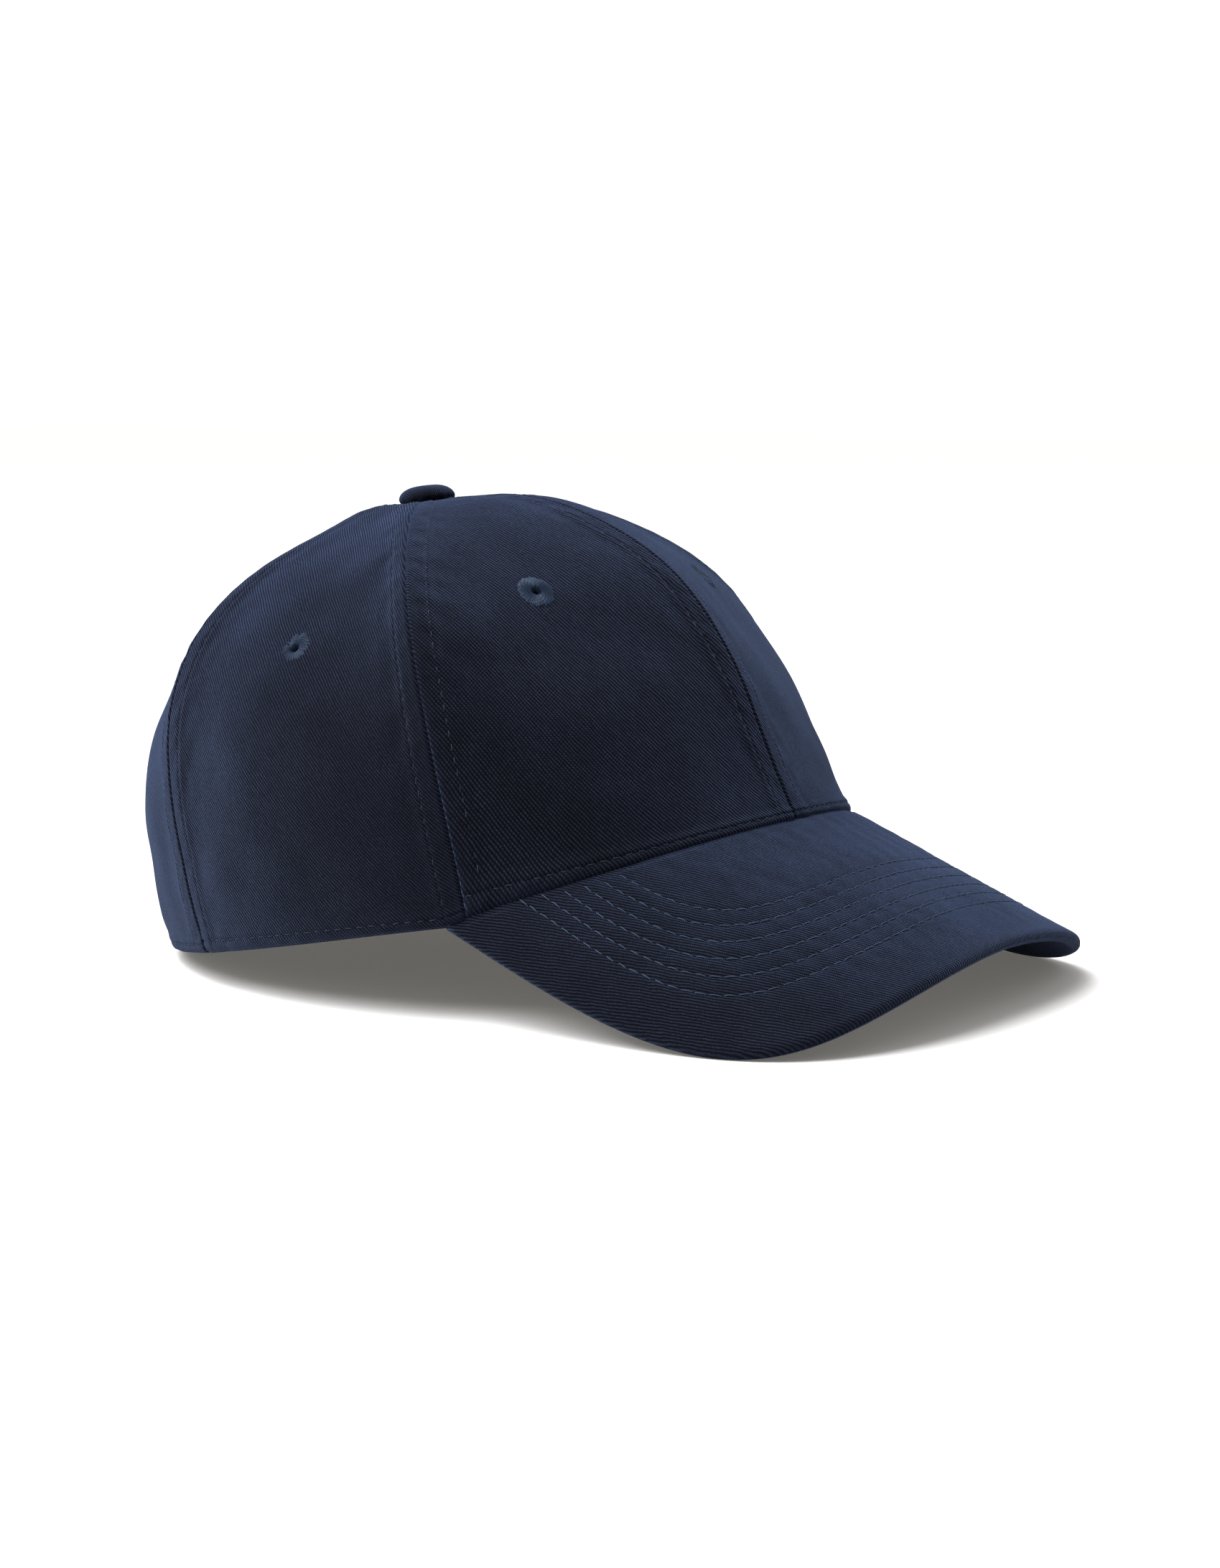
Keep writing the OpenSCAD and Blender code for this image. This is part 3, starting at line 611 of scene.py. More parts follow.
MATERIALS = {
    "twill": twill("twill", NAVY),
    # painted light: a lighter copy of the navy twill for the top of the peak, which faces the light from
    # above
    "twill_peak": twill("twill_peak", (0.0053, 0.0066, 0.0124)),
    "twill_under": twill("twill_under", NAVY),
    "twill_button": twill("twill_button", NAVY, contrast=0.7),
    "twill_strap": twill("twill_strap", NAVY),
    "binding": plain_weave("binding", INNER_NAVY),
    "seam_tape": plain_weave("seam_tape", INNER_NAVY, pitch=0.6),
    "sweatband_cloth": twill("sweatband_cloth", INNER_NAVY, pitch=0.6),
    "buckram": plain_weave("buckram", (0.52, 0.51, 0.47), pitch=1.0, contrast=0.45, relief=0.0003),
    "embroidery": thread("embroidery", (0.016, 0.032, 0.070), twist=0.9, sheen=0.2, rough=0.42),
    "thread": thread("thread", (0.036, 0.060, 0.105)),
    "thread_crown": thread("thread_crown", (0.010, 0.015, 0.028)),
    "label": plain_weave("label", (0.58, 0.58, 0.56), pitch=0.25, contrast=0.15, rough=0.5),
    "foam": foam("foam", (0.72, 0.72, 0.70)),
    "board": board_plastic("board", (0.62, 0.62, 0.60)),
    "metal": metal("metal", (0.55, 0.54, 0.52)),
    "buckle_metal": metal("buckle_metal", (0.50, 0.45, 0.38), rough=0.36),
}

# ---------------- crown panels
STITCH_OFF = 5.2          # from each seam to its row of topstitching
HEM_STITCH = 2.9          # from the hem's edge to its row of stitching
STITCH_PITCH = 3.3
FULL_SEAM_WIDTH = 26.0    # a panel narrower than this has narrower seams too
BETWEEN_SEAMS = 64        # columns of a panel's grid between its two seams
SLACK = {"front": 0.38, "side": 0.75, "back": 0.8}      # height of the panels' broad waves
# distances from a seam and from the hem at which a panel's grid has its lines
SEAM_STEPS = np.array([0, 0.08, 0.18, 0.3, 0.45, 0.65, 0.95, 1.4, 2.1, 3.0, 3.9, 4.5, 4.85, 5.05, 5.2,
                       5.35, 5.55, 5.9, 6.4, 7.2, 8.3, 9.6, 11.2])
HEM_STEPS = np.array([0, 0.08, 0.2, 0.36, 0.6, 0.95, 1.4, 1.9, 2.3, 2.6, 2.78, 2.9, 3.02, 3.2, 3.5,
                      4.0, 4.7, 5.6, 6.6, 7.7, 8.8])
RIBS = {"front": (57.0, 0.94), "side": (53.0, 0.79), "back": (54.0, 0.79)}      # angle, pitch in mm


def seam_share(width):
    """How much the seam's details narrow where a panel is narrow."""
    return np.minimum(1.0, width / FULL_SEAM_WIDTH)


def relief_at(d, v, width, p, kind):
    """How far the cloth stands off the smooth crown, near its seams and hem and between them.

    d and v are the distances from the nearer seam and from the hem.
    """
    share = seam_share(width)
    d = d / np.maximum(share, 1e-6)
    seam = -0.85 * share * np.exp(-(d / 0.34) ** 1.5)
    folded = 0.42 * share * (1 - smooth_step(d, 4.9, 8.0))
    groove = -0.24 * share * hump(d, STITCH_OFF, 0.45) * (0.8 + 0.2 * np.cos(2 * np.pi * v / STITCH_PITCH))
    pucker = 0.16 * share * hump(d, 3.2, 2.2) * soft_noise(p, 5.0, 11)
    pucker += 0.15 * share * hump(d, 8.0, 4.0) * soft_noise(p, 9.0, 12)
    hem = -0.9 * np.exp(-(v / 0.6) ** 1.6) + 0.45 * (1 - smooth_step(v, 3.2, 6.0))
    hem += -0.26 * hump(v, HEM_STITCH, 0.45) + 0.15 * hump(v, 2.5, 2.2) * soft_noise(p, 6.0, 13)
    body = SLACK[kind] * soft_noise(p, 46.0, 21) * smooth_step(d, 4, 16) * smooth_step(v, 4, 18)
    body += 0.3 * SLACK[kind] * soft_noise(p, 17.0, 22) * smooth_step(d, 5, 12) * smooth_step(v, 5, 12)
    return seam + (folded + groove) * (1 - 0.4 * hump(v, 0, 9.0)) + pucker + hem + body


def panel_rows(mid_u):
    """The t of each row of a panel's grid, and its distance from the hem."""
    t = np.linspace(0, TOP_T, 1500)
    lengths = path_lengths(crown(mid_u, t))
    tail = np.arange(HEM_STEPS[-1] + 1.1, lengths[-1] - 0.4, 1.1)
    v = np.concatenate([HEM_STEPS, tail, [lengths[-1]]])
    return np.interp(v, lengths, t), v


def panel_frame(side, from_u, to_u):
    """Grids of plan angle, t, distance from the first seam, panel width and height over the hem."""
    ts, v = panel_rows((from_u + to_u) / 2)
    samples = np.linspace(from_u + 0.03, to_u - 0.03, 121)
    us, low, wide = [], [], []
    for t in ts:
        lengths = path_lengths(crown(side * samples, t))
        width = lengths[-1]
        edge = SEAM_STEPS * seam_share(width)
        middle = np.linspace(edge[-1], width - edge[-1], BETWEEN_SEAMS + 2)[1:-1]
        across = np.concatenate([edge, middle, width - edge[::-1]])
        us.append(np.interp(across, lengths, samples))
        low.append(across)
        wide.append(np.full(len(across), width))
    u, low, wide = (np.array(x) for x in (us, low, wide))
    t, v = (np.repeat(x[:, None], u.shape[1], 1) for x in (ts, v))
    return u, t, low, wide, v


def far_from_eyelet(kind, side, grid, distance):
    """Which cells of a grid on the crown lie clear of the panel's eyelet."""
    cell = (grid[:-1, :-1] + grid[1:, 1:]) / 2
    return np.linalg.norm(cell - crown(side * EYELETS[kind][0], EYELETS[kind][1]), axis=-1) > distance


def from_arch(p):
    """How far points lie from the middle of the rear arch, which has upright legs."""
    return np.hypot(p[..., 0], np.maximum(0, p[..., 2] - ARCH_LEG))


def make_panel(kind, side, from_u, to_u):
    name = f"panel_{kind}_{'right' if side > 0 else 'left'}"
    u, t, low, wide, v = panel_frame(side, from_u, to_u)
    wall = crown(side * u, t)
    out = grid_normals(wall)
    if (out * (wall - CROWN_MIDDLE)).sum() < 0:
        out = -out
    d = np.minimum(low, wide - low)
    relief = relief_at(d, v, wide, wall, kind)
    outer = wall + out * relief[..., None]
    inner = wall - out * (PANEL_T + 0.05 - 0.2 * hump(v, 0, 1.0))[..., None]
    inner = np.where((v < 0.4)[..., None], wall - out * 1.25, inner)
    rib_angle, rib_pitch = RIBS[kind]
    uv = turned_uv(-side * (low - wide / 2), v, rib_angle) * (TWILL_PITCH / rib_pitch)
    edge = 0.8 * hump(d, 1.1, 0.8) + hump(v, 0.9, 0.7) + 0.25 * np.clip(relief - 0.2, 0, 1)
    wear = np.clip(edge * (0.55 + 0.45 * soft_noise(wall, 14.0, 31)), 0, 1)
    keep = far_from_eyelet(kind, side, wall, 2.4)
    row_width = wide[:, 0]
    area = ((row_width[1:] + row_width[:-1]) / 2 * np.diff(v[:, 0])).sum() / 1e6
    if kind == "back":
        keep &= from_arch((wall[:-1, :-1] + wall[1:, 1:]) / 2) > ARCH_R - 0.6
        area -= math.pi / 4 * (ARCH_R / 1000) ** 2
    obj = shell_object(f"{name}_cloth", outer, inner, uv, wear, keep)
    cloth_piece(obj, name, "twill",
                area=round(float(area), 6))
    return u, t, low, wide, v


SPANS = {"front": (0.0, SIDE_SEAM), "side": (SIDE_SEAM, BACK_SEAM), "back": (BACK_SEAM, 180.0)}
PANELS = {}
for kind, (from_u, to_u) in SPANS.items():
    for side in (-1, 1):
        PANELS[kind, side] = make_panel(kind, side, from_u, to_u)


def wall_line(side, u, t):
    """Points and outward normals of the smooth crown along a line of plan angles and t."""
    p = crown(side * u, t)
    du = crown(side * (u + 0.05), t) - crown(side * (u - 0.05), t)
    dt = crown(side * u, t + 0.002) - crown(side * u, t - 0.002)
    n = unit(np.cross(du, dt))
    return p, n * np.sign((n * (p - CROWN_MIDDLE)).sum(1, keepdims=True))


def seam_stitches():
    """Topstitching on both sides of every seam, and one row round the hem."""
    rows = Threads()
    look = {"pitch": STITCH_PITCH, "gap": 1.1}
    for (kind, side), (u, t, low, wide, v) in PANELS.items():
        share = seam_share(wide[:, 0])
        off = STITCH_OFF * share
        for end, places in ((0, off), (1, wide[:, 0] - off)):
            us = np.array([np.interp(*line) for line in zip(places, low, u)])
            p, n = wall_line(side, us, t[:, 0])
            ok = (v[:, 0] > 1.2) & (share > 0.3)
            ok &= (from_arch(p) >= ARCH_R + 3.5) | (kind != "back")
            if ok.sum() > 8:
                rows.row(p[ok], n[ok], radius=0.14, lift=0.26, seed=40 + end, **look)
    for (kind, side), (u, t, low, wide, v) in PANELS.items():
        i = int(np.argmin(np.abs(v[:, 0] - HEM_STITCH)))
        p, n = wall_line(side, u[i], t[i])
        ok = (from_arch(p) >= ARCH_R + 3.0) | (kind != "back")
        rows.row(p[ok], n[ok], radius=0.15, lift=0.3, seed=50, **look)
    rows.finish("stitches_crown", "cap", "twill")


seam_stitches()

# ---------------- binding of the rear arch
BINDING_HALF, BINDING_THICK = 2.6, 1.05


def wall_place(x, z):
    """The plan angle and t where the rear wall passes a place of the arch's outline."""
    us, ts, t = np.linspace(150, 210, 241), np.linspace(0, 0.6, 241), 0.1
    for _ in range(8):
        xs = crown(us, t)[:, 0]
        order = np.argsort(xs)
        u = np.interp(x, xs[order], us[order])
        t = np.interp(z, crown(u, ts)[:, 2], ts)
    return u, t


def binding_section(thick):
    """The binding's fold seen from its end: two flat sides and a round bend."""
    flat = np.linspace(BINDING_HALF, BINDING_THICK - BINDING_HALF, 9)
    bend = rad(np.linspace(90, -90, 11))
    return np.concatenate([plain_uv(flat[:-1], thick),
                           np.stack([flat[-1] - thick * np.cos(bend), thick * np.sin(bend)], -1),
                           plain_uv(flat[-2::-1], -thick)])


def make_binding():
    r = ARCH_R - 0.9
    angle = np.linspace(0, np.pi, 160)[1:-1]
    leg = np.linspace(-1.2, ARCH_LEG, 14)
    xs = np.concatenate([np.full(14, r), r * np.cos(angle), np.full(14, -r)])
    zs = np.concatenate([leg, ARCH_LEG + r * np.sin(angle), leg[::-1]])
    us, ts = np.array([wall_place(x, z) for x, z in zip(xs, zs)]).T
    p, n = wall_line(1, us, ts)
    p[:, 2] += np.minimum(zs, 0)
    side = np.cross(unit(np.gradient(p, axis=0)), n)
    inwards = np.stack([-p[:, 0], 0 * xs, ARCH_LEG - 6 - p[:, 2]], -1)
    side *= -np.sign((side * inwards).sum(1, keepdims=True))
    centre = p - n * (PANEL_T / 2)
    lengths = path_lengths(p)
    pucker = 1 + 0.05 * np.sin(lengths * 2.3)[:, None]

    def wrapped(thick):
        section = binding_section(thick)
        return (centre[:, None] + side[:, None] * section[None, :, :1]
                + n[:, None] * (section[None, :, 1] * pucker)[..., None])

    across = path_lengths(binding_section(BINDING_THICK))
    obj = shell_object("arch_binding_cloth", wrapped(BINDING_THICK), wrapped(BINDING_THICK - 0.45),
                       plain_uv(across, lengths[:, None]))
    cloth_piece(obj, "arch_binding", "binding")
    rows = Threads()
    for sign in (-1, 1):
        line = centre + side * 1.4 + n * sign * (BINDING_THICK - 0.02)
        rows.row(line[2:-2], n[2:-2] * sign, pitch=2.6, radius=0.16, lift=0.22, seed=60 + sign)
    rows.finish("stitches_binding", "cap", "binding")


make_binding()


# ---------------- pieces inside the crown
def inner_shell(node, slot_name, outer, inner, uv, size=None, area=None, keep=None):
    """A thin shell inside the crown. Its flat size is that of its middle lines if none is given; the size is
    not used.
    """
    if size is None:
        size = [path_lengths(line)[-1] for line in (outer[:, outer.shape[1] // 2], outer[len(outer) // 2])]
    obj = shell_object(f"{node}_cloth", outer, inner, uv, keep=keep)
    cloth_piece(obj, node, slot_name, area=area)


def make_tape(node, u, low_t, rows):
    ts = np.linspace(low_t, 0.91, 120)
    half = TAPE_W / 2 / (HEAD_R * reach(ts, u)) * 180 / np.pi
    k = np.linspace(-1, 1, 17)[:, None]
    us = u + k * half
    base = crown(us, ts, TAPE_IN)
    wave = 0.10 * soft_noise(base, 9.0, 71).clip(-1, 1)
    relief = wave + 0.12 * hump(np.abs(k), 0.72, 0.1) + 0.10 * hump(np.abs(k), 1, 0.08)
    face = crown(us, ts, TAPE_IN + 0.5 - relief)
    inner_shell(node, "seam_tape", base, face, plain_uv(k * TAPE_W / 2, path_lengths(base[8])))
    for off in (-0.72, 0.72):
        line_u = u + off * half
        n = unit(crown(line_u, ts, TAPE_IN + 0.6) - crown(line_u, ts, TAPE_IN))
        rows.row(crown(line_u, ts, TAPE_IN + 0.5), n, pitch=2.7, radius=0.16, lift=0.16, seed=72)


def make_tapes():
    rows = Threads()
    for place, (u, low_t, panels) in TAPES.items():
        make_tape(f"seam_tape_{place}", u, low_t, rows)
    rows.finish("stitches_tapes", "cap", "seam_tape")


def make_buckram(side, place):
    u, t = np.meshgrid(side * np.linspace(0.2, 60.0, 70), np.linspace(0.07, 0.90, 90), indexing="ij")
    outer, inner = crown(u, t, 1.0), crown(u, t, 1.65)
    lengths = path_lengths(outer[35])
    widths = [path_lengths(outer[:, j])[-1] for j in range(outer.shape[1])]
    area = float(np.trapz(widths, lengths)) / 1e6
    inner_shell(f"buckram_{place}", "buckram", outer, inner,
                plain_uv(path_lengths(outer[:, 20])[:, None], lengths),
                size=(max(widths), lengths[-1]), area=round(area, 6),
                keep=far_from_eyelet("front", side, outer, EYELET_R + 0.6))


TAPE_IN = 2.0             # from the crown's outside to the tape
# plan angle, t of the lower end, and the two panels that the tape joins
TAPES = {"front": (0.0, 0.03, ("front_left", "front_right")),
         "side_left": (-SIDE_SEAM, 0.03, ("front_left", "side_left")),
         "side_right": (SIDE_SEAM, 0.03, ("front_right", "side_right")),
         "back_left": (-BACK_SEAM, 0.03, ("side_left", "back_left")),
         "back_right": (BACK_SEAM, 0.03, ("side_right", "back_right")),
         "rear": (180.0, 0.45, ("back_left", "back_right"))}
make_tapes()

for side, place in ((-1, "left"), (1, "right")):
    make_buckram(side, place)

BAND_IN, BAND_T, BAND_H, BAND_END = 4.4, 0.8, 32.0, 148.0
BAND_STITCH = 2.4         # from the band's top edge to its row of stitching


def make_sweatband():
    """A flange at the hem, then the band up the inside, with a rolled and stitched top edge."""
    heights = np.concatenate([[0.35, 0.6, 1.0, 1.6, 2.6, 4.0], np.linspace(5.5, BAND_H - 3.2, 14),
                              [BAND_H - 2.2, BAND_H - 1.4, BAND_H - 0.7, BAND_H - 0.3, BAND_H]])
    u, h = np.meshgrid(np.linspace(-BAND_END, BAND_END, 300), heights, indexing="ij")
    into = np.clip((h - 0.35) / 2.0, 0, 1)
    base = crown_lift(u, BAND_IN + BAND_T, h)
    wave = 0.18 * soft_noise(base, 24.0, 81) * smooth_step(h, 4, 10) * (1 - smooth_step(h, 27, 31))
    inset = 1.25 + (BAND_IN + BAND_T - 1.25) * np.sin(into * np.pi / 2)
    inset = inset + wave.clip(-0.25, 0.3) - 0.14 * hump(h, BAND_H - BAND_STITCH, 0.5)
    thick = np.minimum(BAND_T, 0.45 + 0.35 * into)
    face = crown_lift(u, inset, h)
    back = crown_lift(u, inset - thick, np.maximum(h, 0.9 * (1 - into) + h * into))
    lengths = path_lengths(base[:, 12])
    inner_shell("sweatband", "sweatband_cloth", face, back, turned_uv(lengths[:, None], h, 60.0),
                size=(lengths[-1], 36.0))
    line_u = np.linspace(-BAND_END + 0.6, BAND_END - 0.6, 600)
    p = crown_lift(line_u, BAND_IN + BAND_T, BAND_H - BAND_STITCH)
    n = unit(([0, APEX_Y, 0] - p) * [1, 1, 0])
    rows = Threads()
    rows.row(p, n, pitch=2.8, radius=0.17, lift=0.12, seed=82)
    rows.finish("stitches_sweatband", "cap", "sweatband_cloth")


make_sweatband()


def make_brow_foam():
    low, high = 3, BAND_H - 4
    u, h = np.meshgrid(np.linspace(-55.5, 55.5, 90), np.linspace(low, high, 16), indexing="ij")
    inset = BAND_IN - 0.4 - 1.2
    edge = np.minimum(1, np.minimum((h - low) / 2.0, (high - h) / 2.0)).clip(0, 1) ** 0.5
    obj = shell_object("brow_foam_pad", crown_lift(u, inset + 0.5 + 0.7 * edge, h),
                       crown_lift(u, inset, h), plain_uv(u, h))
    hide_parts("brow_foam")
    dress(obj, "cap", "foam")


make_brow_foam()


def make_label():
    from_u, low, size = -134, 8, 18
    us, heights = np.linspace(from_u, from_u + size, 40), np.linspace(low, low + size, 26)
    u, h = np.meshgrid(us, heights, indexing="ij")
    inset = BAND_IN + BAND_T + 0.4
    puff = 0.12 * np.sin(np.pi * (u - from_u) / size) * np.sin(np.pi * (h - low) / size)
    face, back = crown_lift(u, inset + 0.35 + puff, h), crown_lift(u, inset, h)
    lengths = path_lengths(face[:, 12])
    inner_shell("inner_label", "label", face, back, plain_uv(lengths[:, None], h),
                size=(lengths[-1], size))


make_label()


# ---------------- eyelets
def make_eyelets():
    """Buttonhole-stitched rings: radial threads over a hole."""
    threads, per, profile = 58, 6, 15
    count = threads * per
    step = np.arange(count)
    angles, thread_of = step / count * 2 * np.pi, step // per
    ridge = np.abs(np.sin(np.pi * (step % per + 0.5) / per)) ** 0.7
    k = np.linspace(0, 1, profile)
    dome = np.sin(np.pi * k ** 0.75).clip(0) ** 0.55 - 0.9 * (1 - smooth_step(k, 0, 0.16))
    verts, faces, uv = [], [], []
    for n, (kind, side) in enumerate(PANELS):
        rng = np.random.default_rng(90 + n)
        p, out = (x[0] for x in wall_line(side, *(np.array([x]) for x in EYELETS[kind])))
        up = unit(np.array([0, 0, 1.0]) - out * out[2])
        across = np.cross(up, out)
        stray_out, stray_in = rng.normal(0, 0.2, threads), rng.normal(0, 0.07, threads)
        high = rng.normal(1, 0.10, threads)
        r_in = EYELET_HOLE - 0.15 + stray_in[thread_of] + 0.1 * (1 - ridge)
        r_out = EYELET_R + 0.35 + stray_out[thread_of] - 0.25 * (1 - ridge)
        r = r_in[:, None] + (r_out - r_in)[:, None] * k
        z = -0.35 + dome * (0.75 * high[thread_of])[:, None]
        z += (ridge[:, None] - 0.5) * 0.28 * np.sin(np.pi * k).clip(0) ** 0.4
        z[:, -1] = -0.5
        r = np.concatenate([r, np.stack([r_out - 0.1, r_in + 0.15], -1)], 1)
        z = np.concatenate([z, np.full((count, 2), -PANEL_T - 0.25)], 1)
        ring = (p + np.cos(angles)[:, None, None] * across * r[..., None]
                + np.sin(angles)[:, None, None] * up * r[..., None] + out * z[..., None])
        cols = r.shape[1]
        verts.append(ring.reshape(-1, 3))
        uv.append(plain_uv(angles[:, None] * 2.6, r).reshape(-1, 2))
        faces += ring_faces(count, cols, n * count * cols)
    obj = make_object("eyelets_worked", np.concatenate(verts), faces, np.concatenate(uv))
    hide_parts("eyelets")
    dress(obj, "cap", "embroidery")


def ring_faces(count, cols, base):
    """Quads of a ring of count closed sections with cols points each."""
    faces = []
    for i in range(count):
        here, there = base + i * cols, base + (i + 1) % count * cols
        for j in range(cols):
            after = (j + 1) % cols
            faces.append([here + j, there + j, there + after, here + after])
    return faces


make_eyelets()


# ---------------- button
BUTTON_RIB, BUTTON_RIB_PITCH = -58.0, 0.62


def make_button():
    """The cover of the button: twill drawn over a dome and gathered in under it."""
    count = 144
    a = rad(np.concatenate([np.linspace(-42, 84, 42), [87, 89]]))
    r_side = BUTTON_R * np.cos(a).clip(1e-9) ** 0.72
    z_side = BUTTON_H * (0.36 + 0.64 * np.sign(a) * np.abs(np.sin(a)) ** 1.12)
    r = np.concatenate([[BUTTON_R - 3.6, BUTTON_R - 2.9, BUTTON_R - 2.2], r_side])
    z = np.concatenate([[0.55, 0.2, z_side[0] - 0.12], z_side])
    round_a = np.linspace(0, 2 * np.pi, count, endpoint=False)[:, None]
    gather = 0.16 * np.cos(round_a * 14 + 0.8 * np.sin(round_a * 3)) * hump(z, 0.4, 1.3)
    outwards = unit(np.stack([np.gradient(z), -np.gradient(r)], -1))

    def skin(thick):
        rr = np.maximum(0.05, r - thick * outwards[:, 0]) + gather
        zz = np.broadcast_to(z - thick * outwards[:, 1], rr.shape)
        ring = np.stack([np.cos(round_a) * rr, APEX_Y + np.sin(round_a) * rr, CROWN_H + 0.1 + zz], -1)
        ring[..., 2] += 0.10 * soft_noise(ring, 9.0, 95)
        ring[..., 2] += 0.10 * (ring[..., 1] - APEX_Y)      # it sits a little forwards
        return ring.reshape(-1, 3), ring[:, -1].mean(0)

    (outer, outer_top), (inner, inner_top) = skin(0.0), skin(0.55)
    cols, total = len(r), count * len(r)
    faces = []
    for i in range(count):
        k, m = i * cols, (i + 1) % count * cols
        for j in range(cols - 1):
            faces.append([k + j, m + j, m + j + 1, k + j + 1])
            faces.append([total + k + j + 1, total + m + j + 1, total + m + j, total + k + j])
        faces.append([k + cols - 1, m + cols - 1, 2 * total])
        faces.append([total + m + cols - 1, total + k + cols - 1, 2 * total + 1])
        faces.append([m, k, total + k, total + m])
    arc = path_lengths(np.stack([r, z], -1))
    spread = arc[-1] - arc
    flat = np.stack([np.cos(round_a) * spread, np.sin(round_a) * spread], -1).reshape(-1, 2)
    flat = np.concatenate([flat, flat, np.zeros((2, 2))])
    uv = turned_uv(flat[:, 0], flat[:, 1], BUTTON_RIB) * (TWILL_PITCH / BUTTON_RIB_PITCH)
    obj = make_object("button_cover_cloth", np.concatenate([outer, inner, [outer_top, inner_top]]), faces, uv)
    fix_normals(obj)
    cut = 1.85 * arc[-1]        # the drawn cloth stretches a little
    cloth_piece(obj, "button_cover", "twill_button",
                area=math.pi * round(cut / 1000, 4) ** 2 / 4)


make_button()

# ---------------- peak
STITCH_ROWS = [16.9 + 4.78 * k for k in range(6)]       # distances from the rim
PEAK_RIB, PEAK_RIB_PITCH = -69.0, 0.74
rim_line = edge_flat(np.linspace(90, -90, 1441), np.zeros(1441))


def in_flat(flat):
    """Places in the flat as points, for the noise."""
    return np.concatenate([flat, np.zeros(flat.shape[:-1] + (1,))], -1)


def rim_distance(flat):
    pts = flat.reshape(-1, 2)
    best = np.full(len(pts), np.inf)
    for part in np.array_split(rim_line, 24):
        best = np.minimum(best, np.linalg.norm(pts[:, None] - part, axis=-1).min(1))
    return best.reshape(flat.shape[:-1])


def outside_crown(flat):
    """Distance by which flat places of the peak lie in front of the crown's outline."""
    x = bent(flat[..., 0])[0]
    y = FRONT_Y - flat[..., 1] * np.cos(rad(PEAK_SLOPE))
    u = np.linspace(-90, 90, 181)
    gap = -x[..., None] * np.sin(rad(u)) - y[..., None] * np.cos(rad(u)) - support(u)
    return gap.max(-1)


def peak_grid():
    """Places of the peak in the flat, and each one's distance from the rim within its round edge."""
    phi = np.concatenate([np.linspace(90, 60, 70), np.linspace(60, -60, 190)[1:-1],
                          np.linspace(-60, -90, 70)])
    near = np.array([0, 0.08, 0.2, 0.4, 0.65, 0.95, 1.3, EDGE_ROUND])
    ks = np.linspace(0, 1, 116)[1:]
    near_w = np.broadcast_to(near, (len(phi), len(near)))
    near_flat = edge_flat(phi[:, None], near_w)
    rim, root = near_flat[:, -1], root_flat(phi, ROOT_INSET)
    flat = np.concatenate([near_flat, rim[:, None] + (root - rim)[:, None] * ks[:, None]], 1)
    return flat, np.concatenate([near_w, np.full((len(phi), len(ks)), EDGE_ROUND)], 1)


def row_distance(flat, d):
    """Distance from the rim as the stitch rows count it: they run nearer to it at the lobes."""
    bearing = np.degrees(np.arctan2(np.abs(flat[..., 0]), flat[..., 1] + 40))
    return d + 2.6 * hump(bearing, 55, 17) - 1.8 * smooth_step(bearing, 72, 92)


def peak_relief(flat, w):
    d = rim_distance(flat)
    counted = row_distance(flat, d)
    out = np.zeros(d.shape)
    for row in STITCH_ROWS:
        out -= 0.20 * hump(counted, row, 0.40) + 0.07 * hump(counted, row, 1.3)
    p = in_flat(flat)
    out += 0.10 * soft_noise(p, 7.0, 101) * smooth_step(d, 3, 12)
    out += 0.22 * soft_noise(p, 40.0, 102) * smooth_step(d, 2, 10)
    return out * (w >= EDGE_ROUND), d


def make_peak():
    flat, w = peak_grid()
    s, q = flat[..., 0], flat[..., 1]
    skin = EDGE_ROUND - np.sqrt(np.maximum(0, EDGE_ROUND ** 2 - (EDGE_ROUND - w) ** 2))
    skin = skin + 0.132 * hump(w, 0, 0.25)          # the seam at the rim
    relief, d = peak_relief(flat, w)
    clear = np.where(outside_crown(flat) < 0.6, 0.0, 1.0)
    wear = 0.75 * hump(d, 0, 1.1) + 0.12 * hump(d, 3, 2.5)
    wear = np.clip(wear * (0.7 + 0.3 * soft_noise(in_flat(flat), 12.0, 103)), 0, 1)
    # the top cover takes the lighter, painted-light copy of the twill; the underside keeps the plain navy
    for name, sign, depth, shift, slot_name in (
            ("peak_top_cover", 1, skin, -relief, "twill_peak"),
            ("peak_under_cover", -1, PEAK_T - skin, relief * 0.8, "twill_under")):
        outer = peak_point(s, q, depth + shift * clear + 0.12 * (1 - clear) * sign)
        thin = np.minimum(COVER_T, np.abs(EDGE_ROUND - depth) * 0.9 + 0.02)
        uv = turned_uv(s, q, sign * PEAK_RIB) * (TWILL_PITCH / PEAK_RIB_PITCH)
        obj = shell_object(f"{name}_cloth", outer, peak_point(s, q, depth + sign * thin), uv, wear)
        cloth_piece(obj, name, slot_name,
                    area=round(cover_area(), 6))


def cover_area():
    """Area in the flat between the rim and the root, in square metres."""
    root = root_flat(np.linspace(-90, 90, 361), ROOT_INSET)
    loop = np.concatenate([rim_line, root])
    x, y = loop[:, 0], loop[:, 1]
    return abs(float((x * np.roll(y, -1) - y * np.roll(x, -1)).sum()) / 2) / 1e6


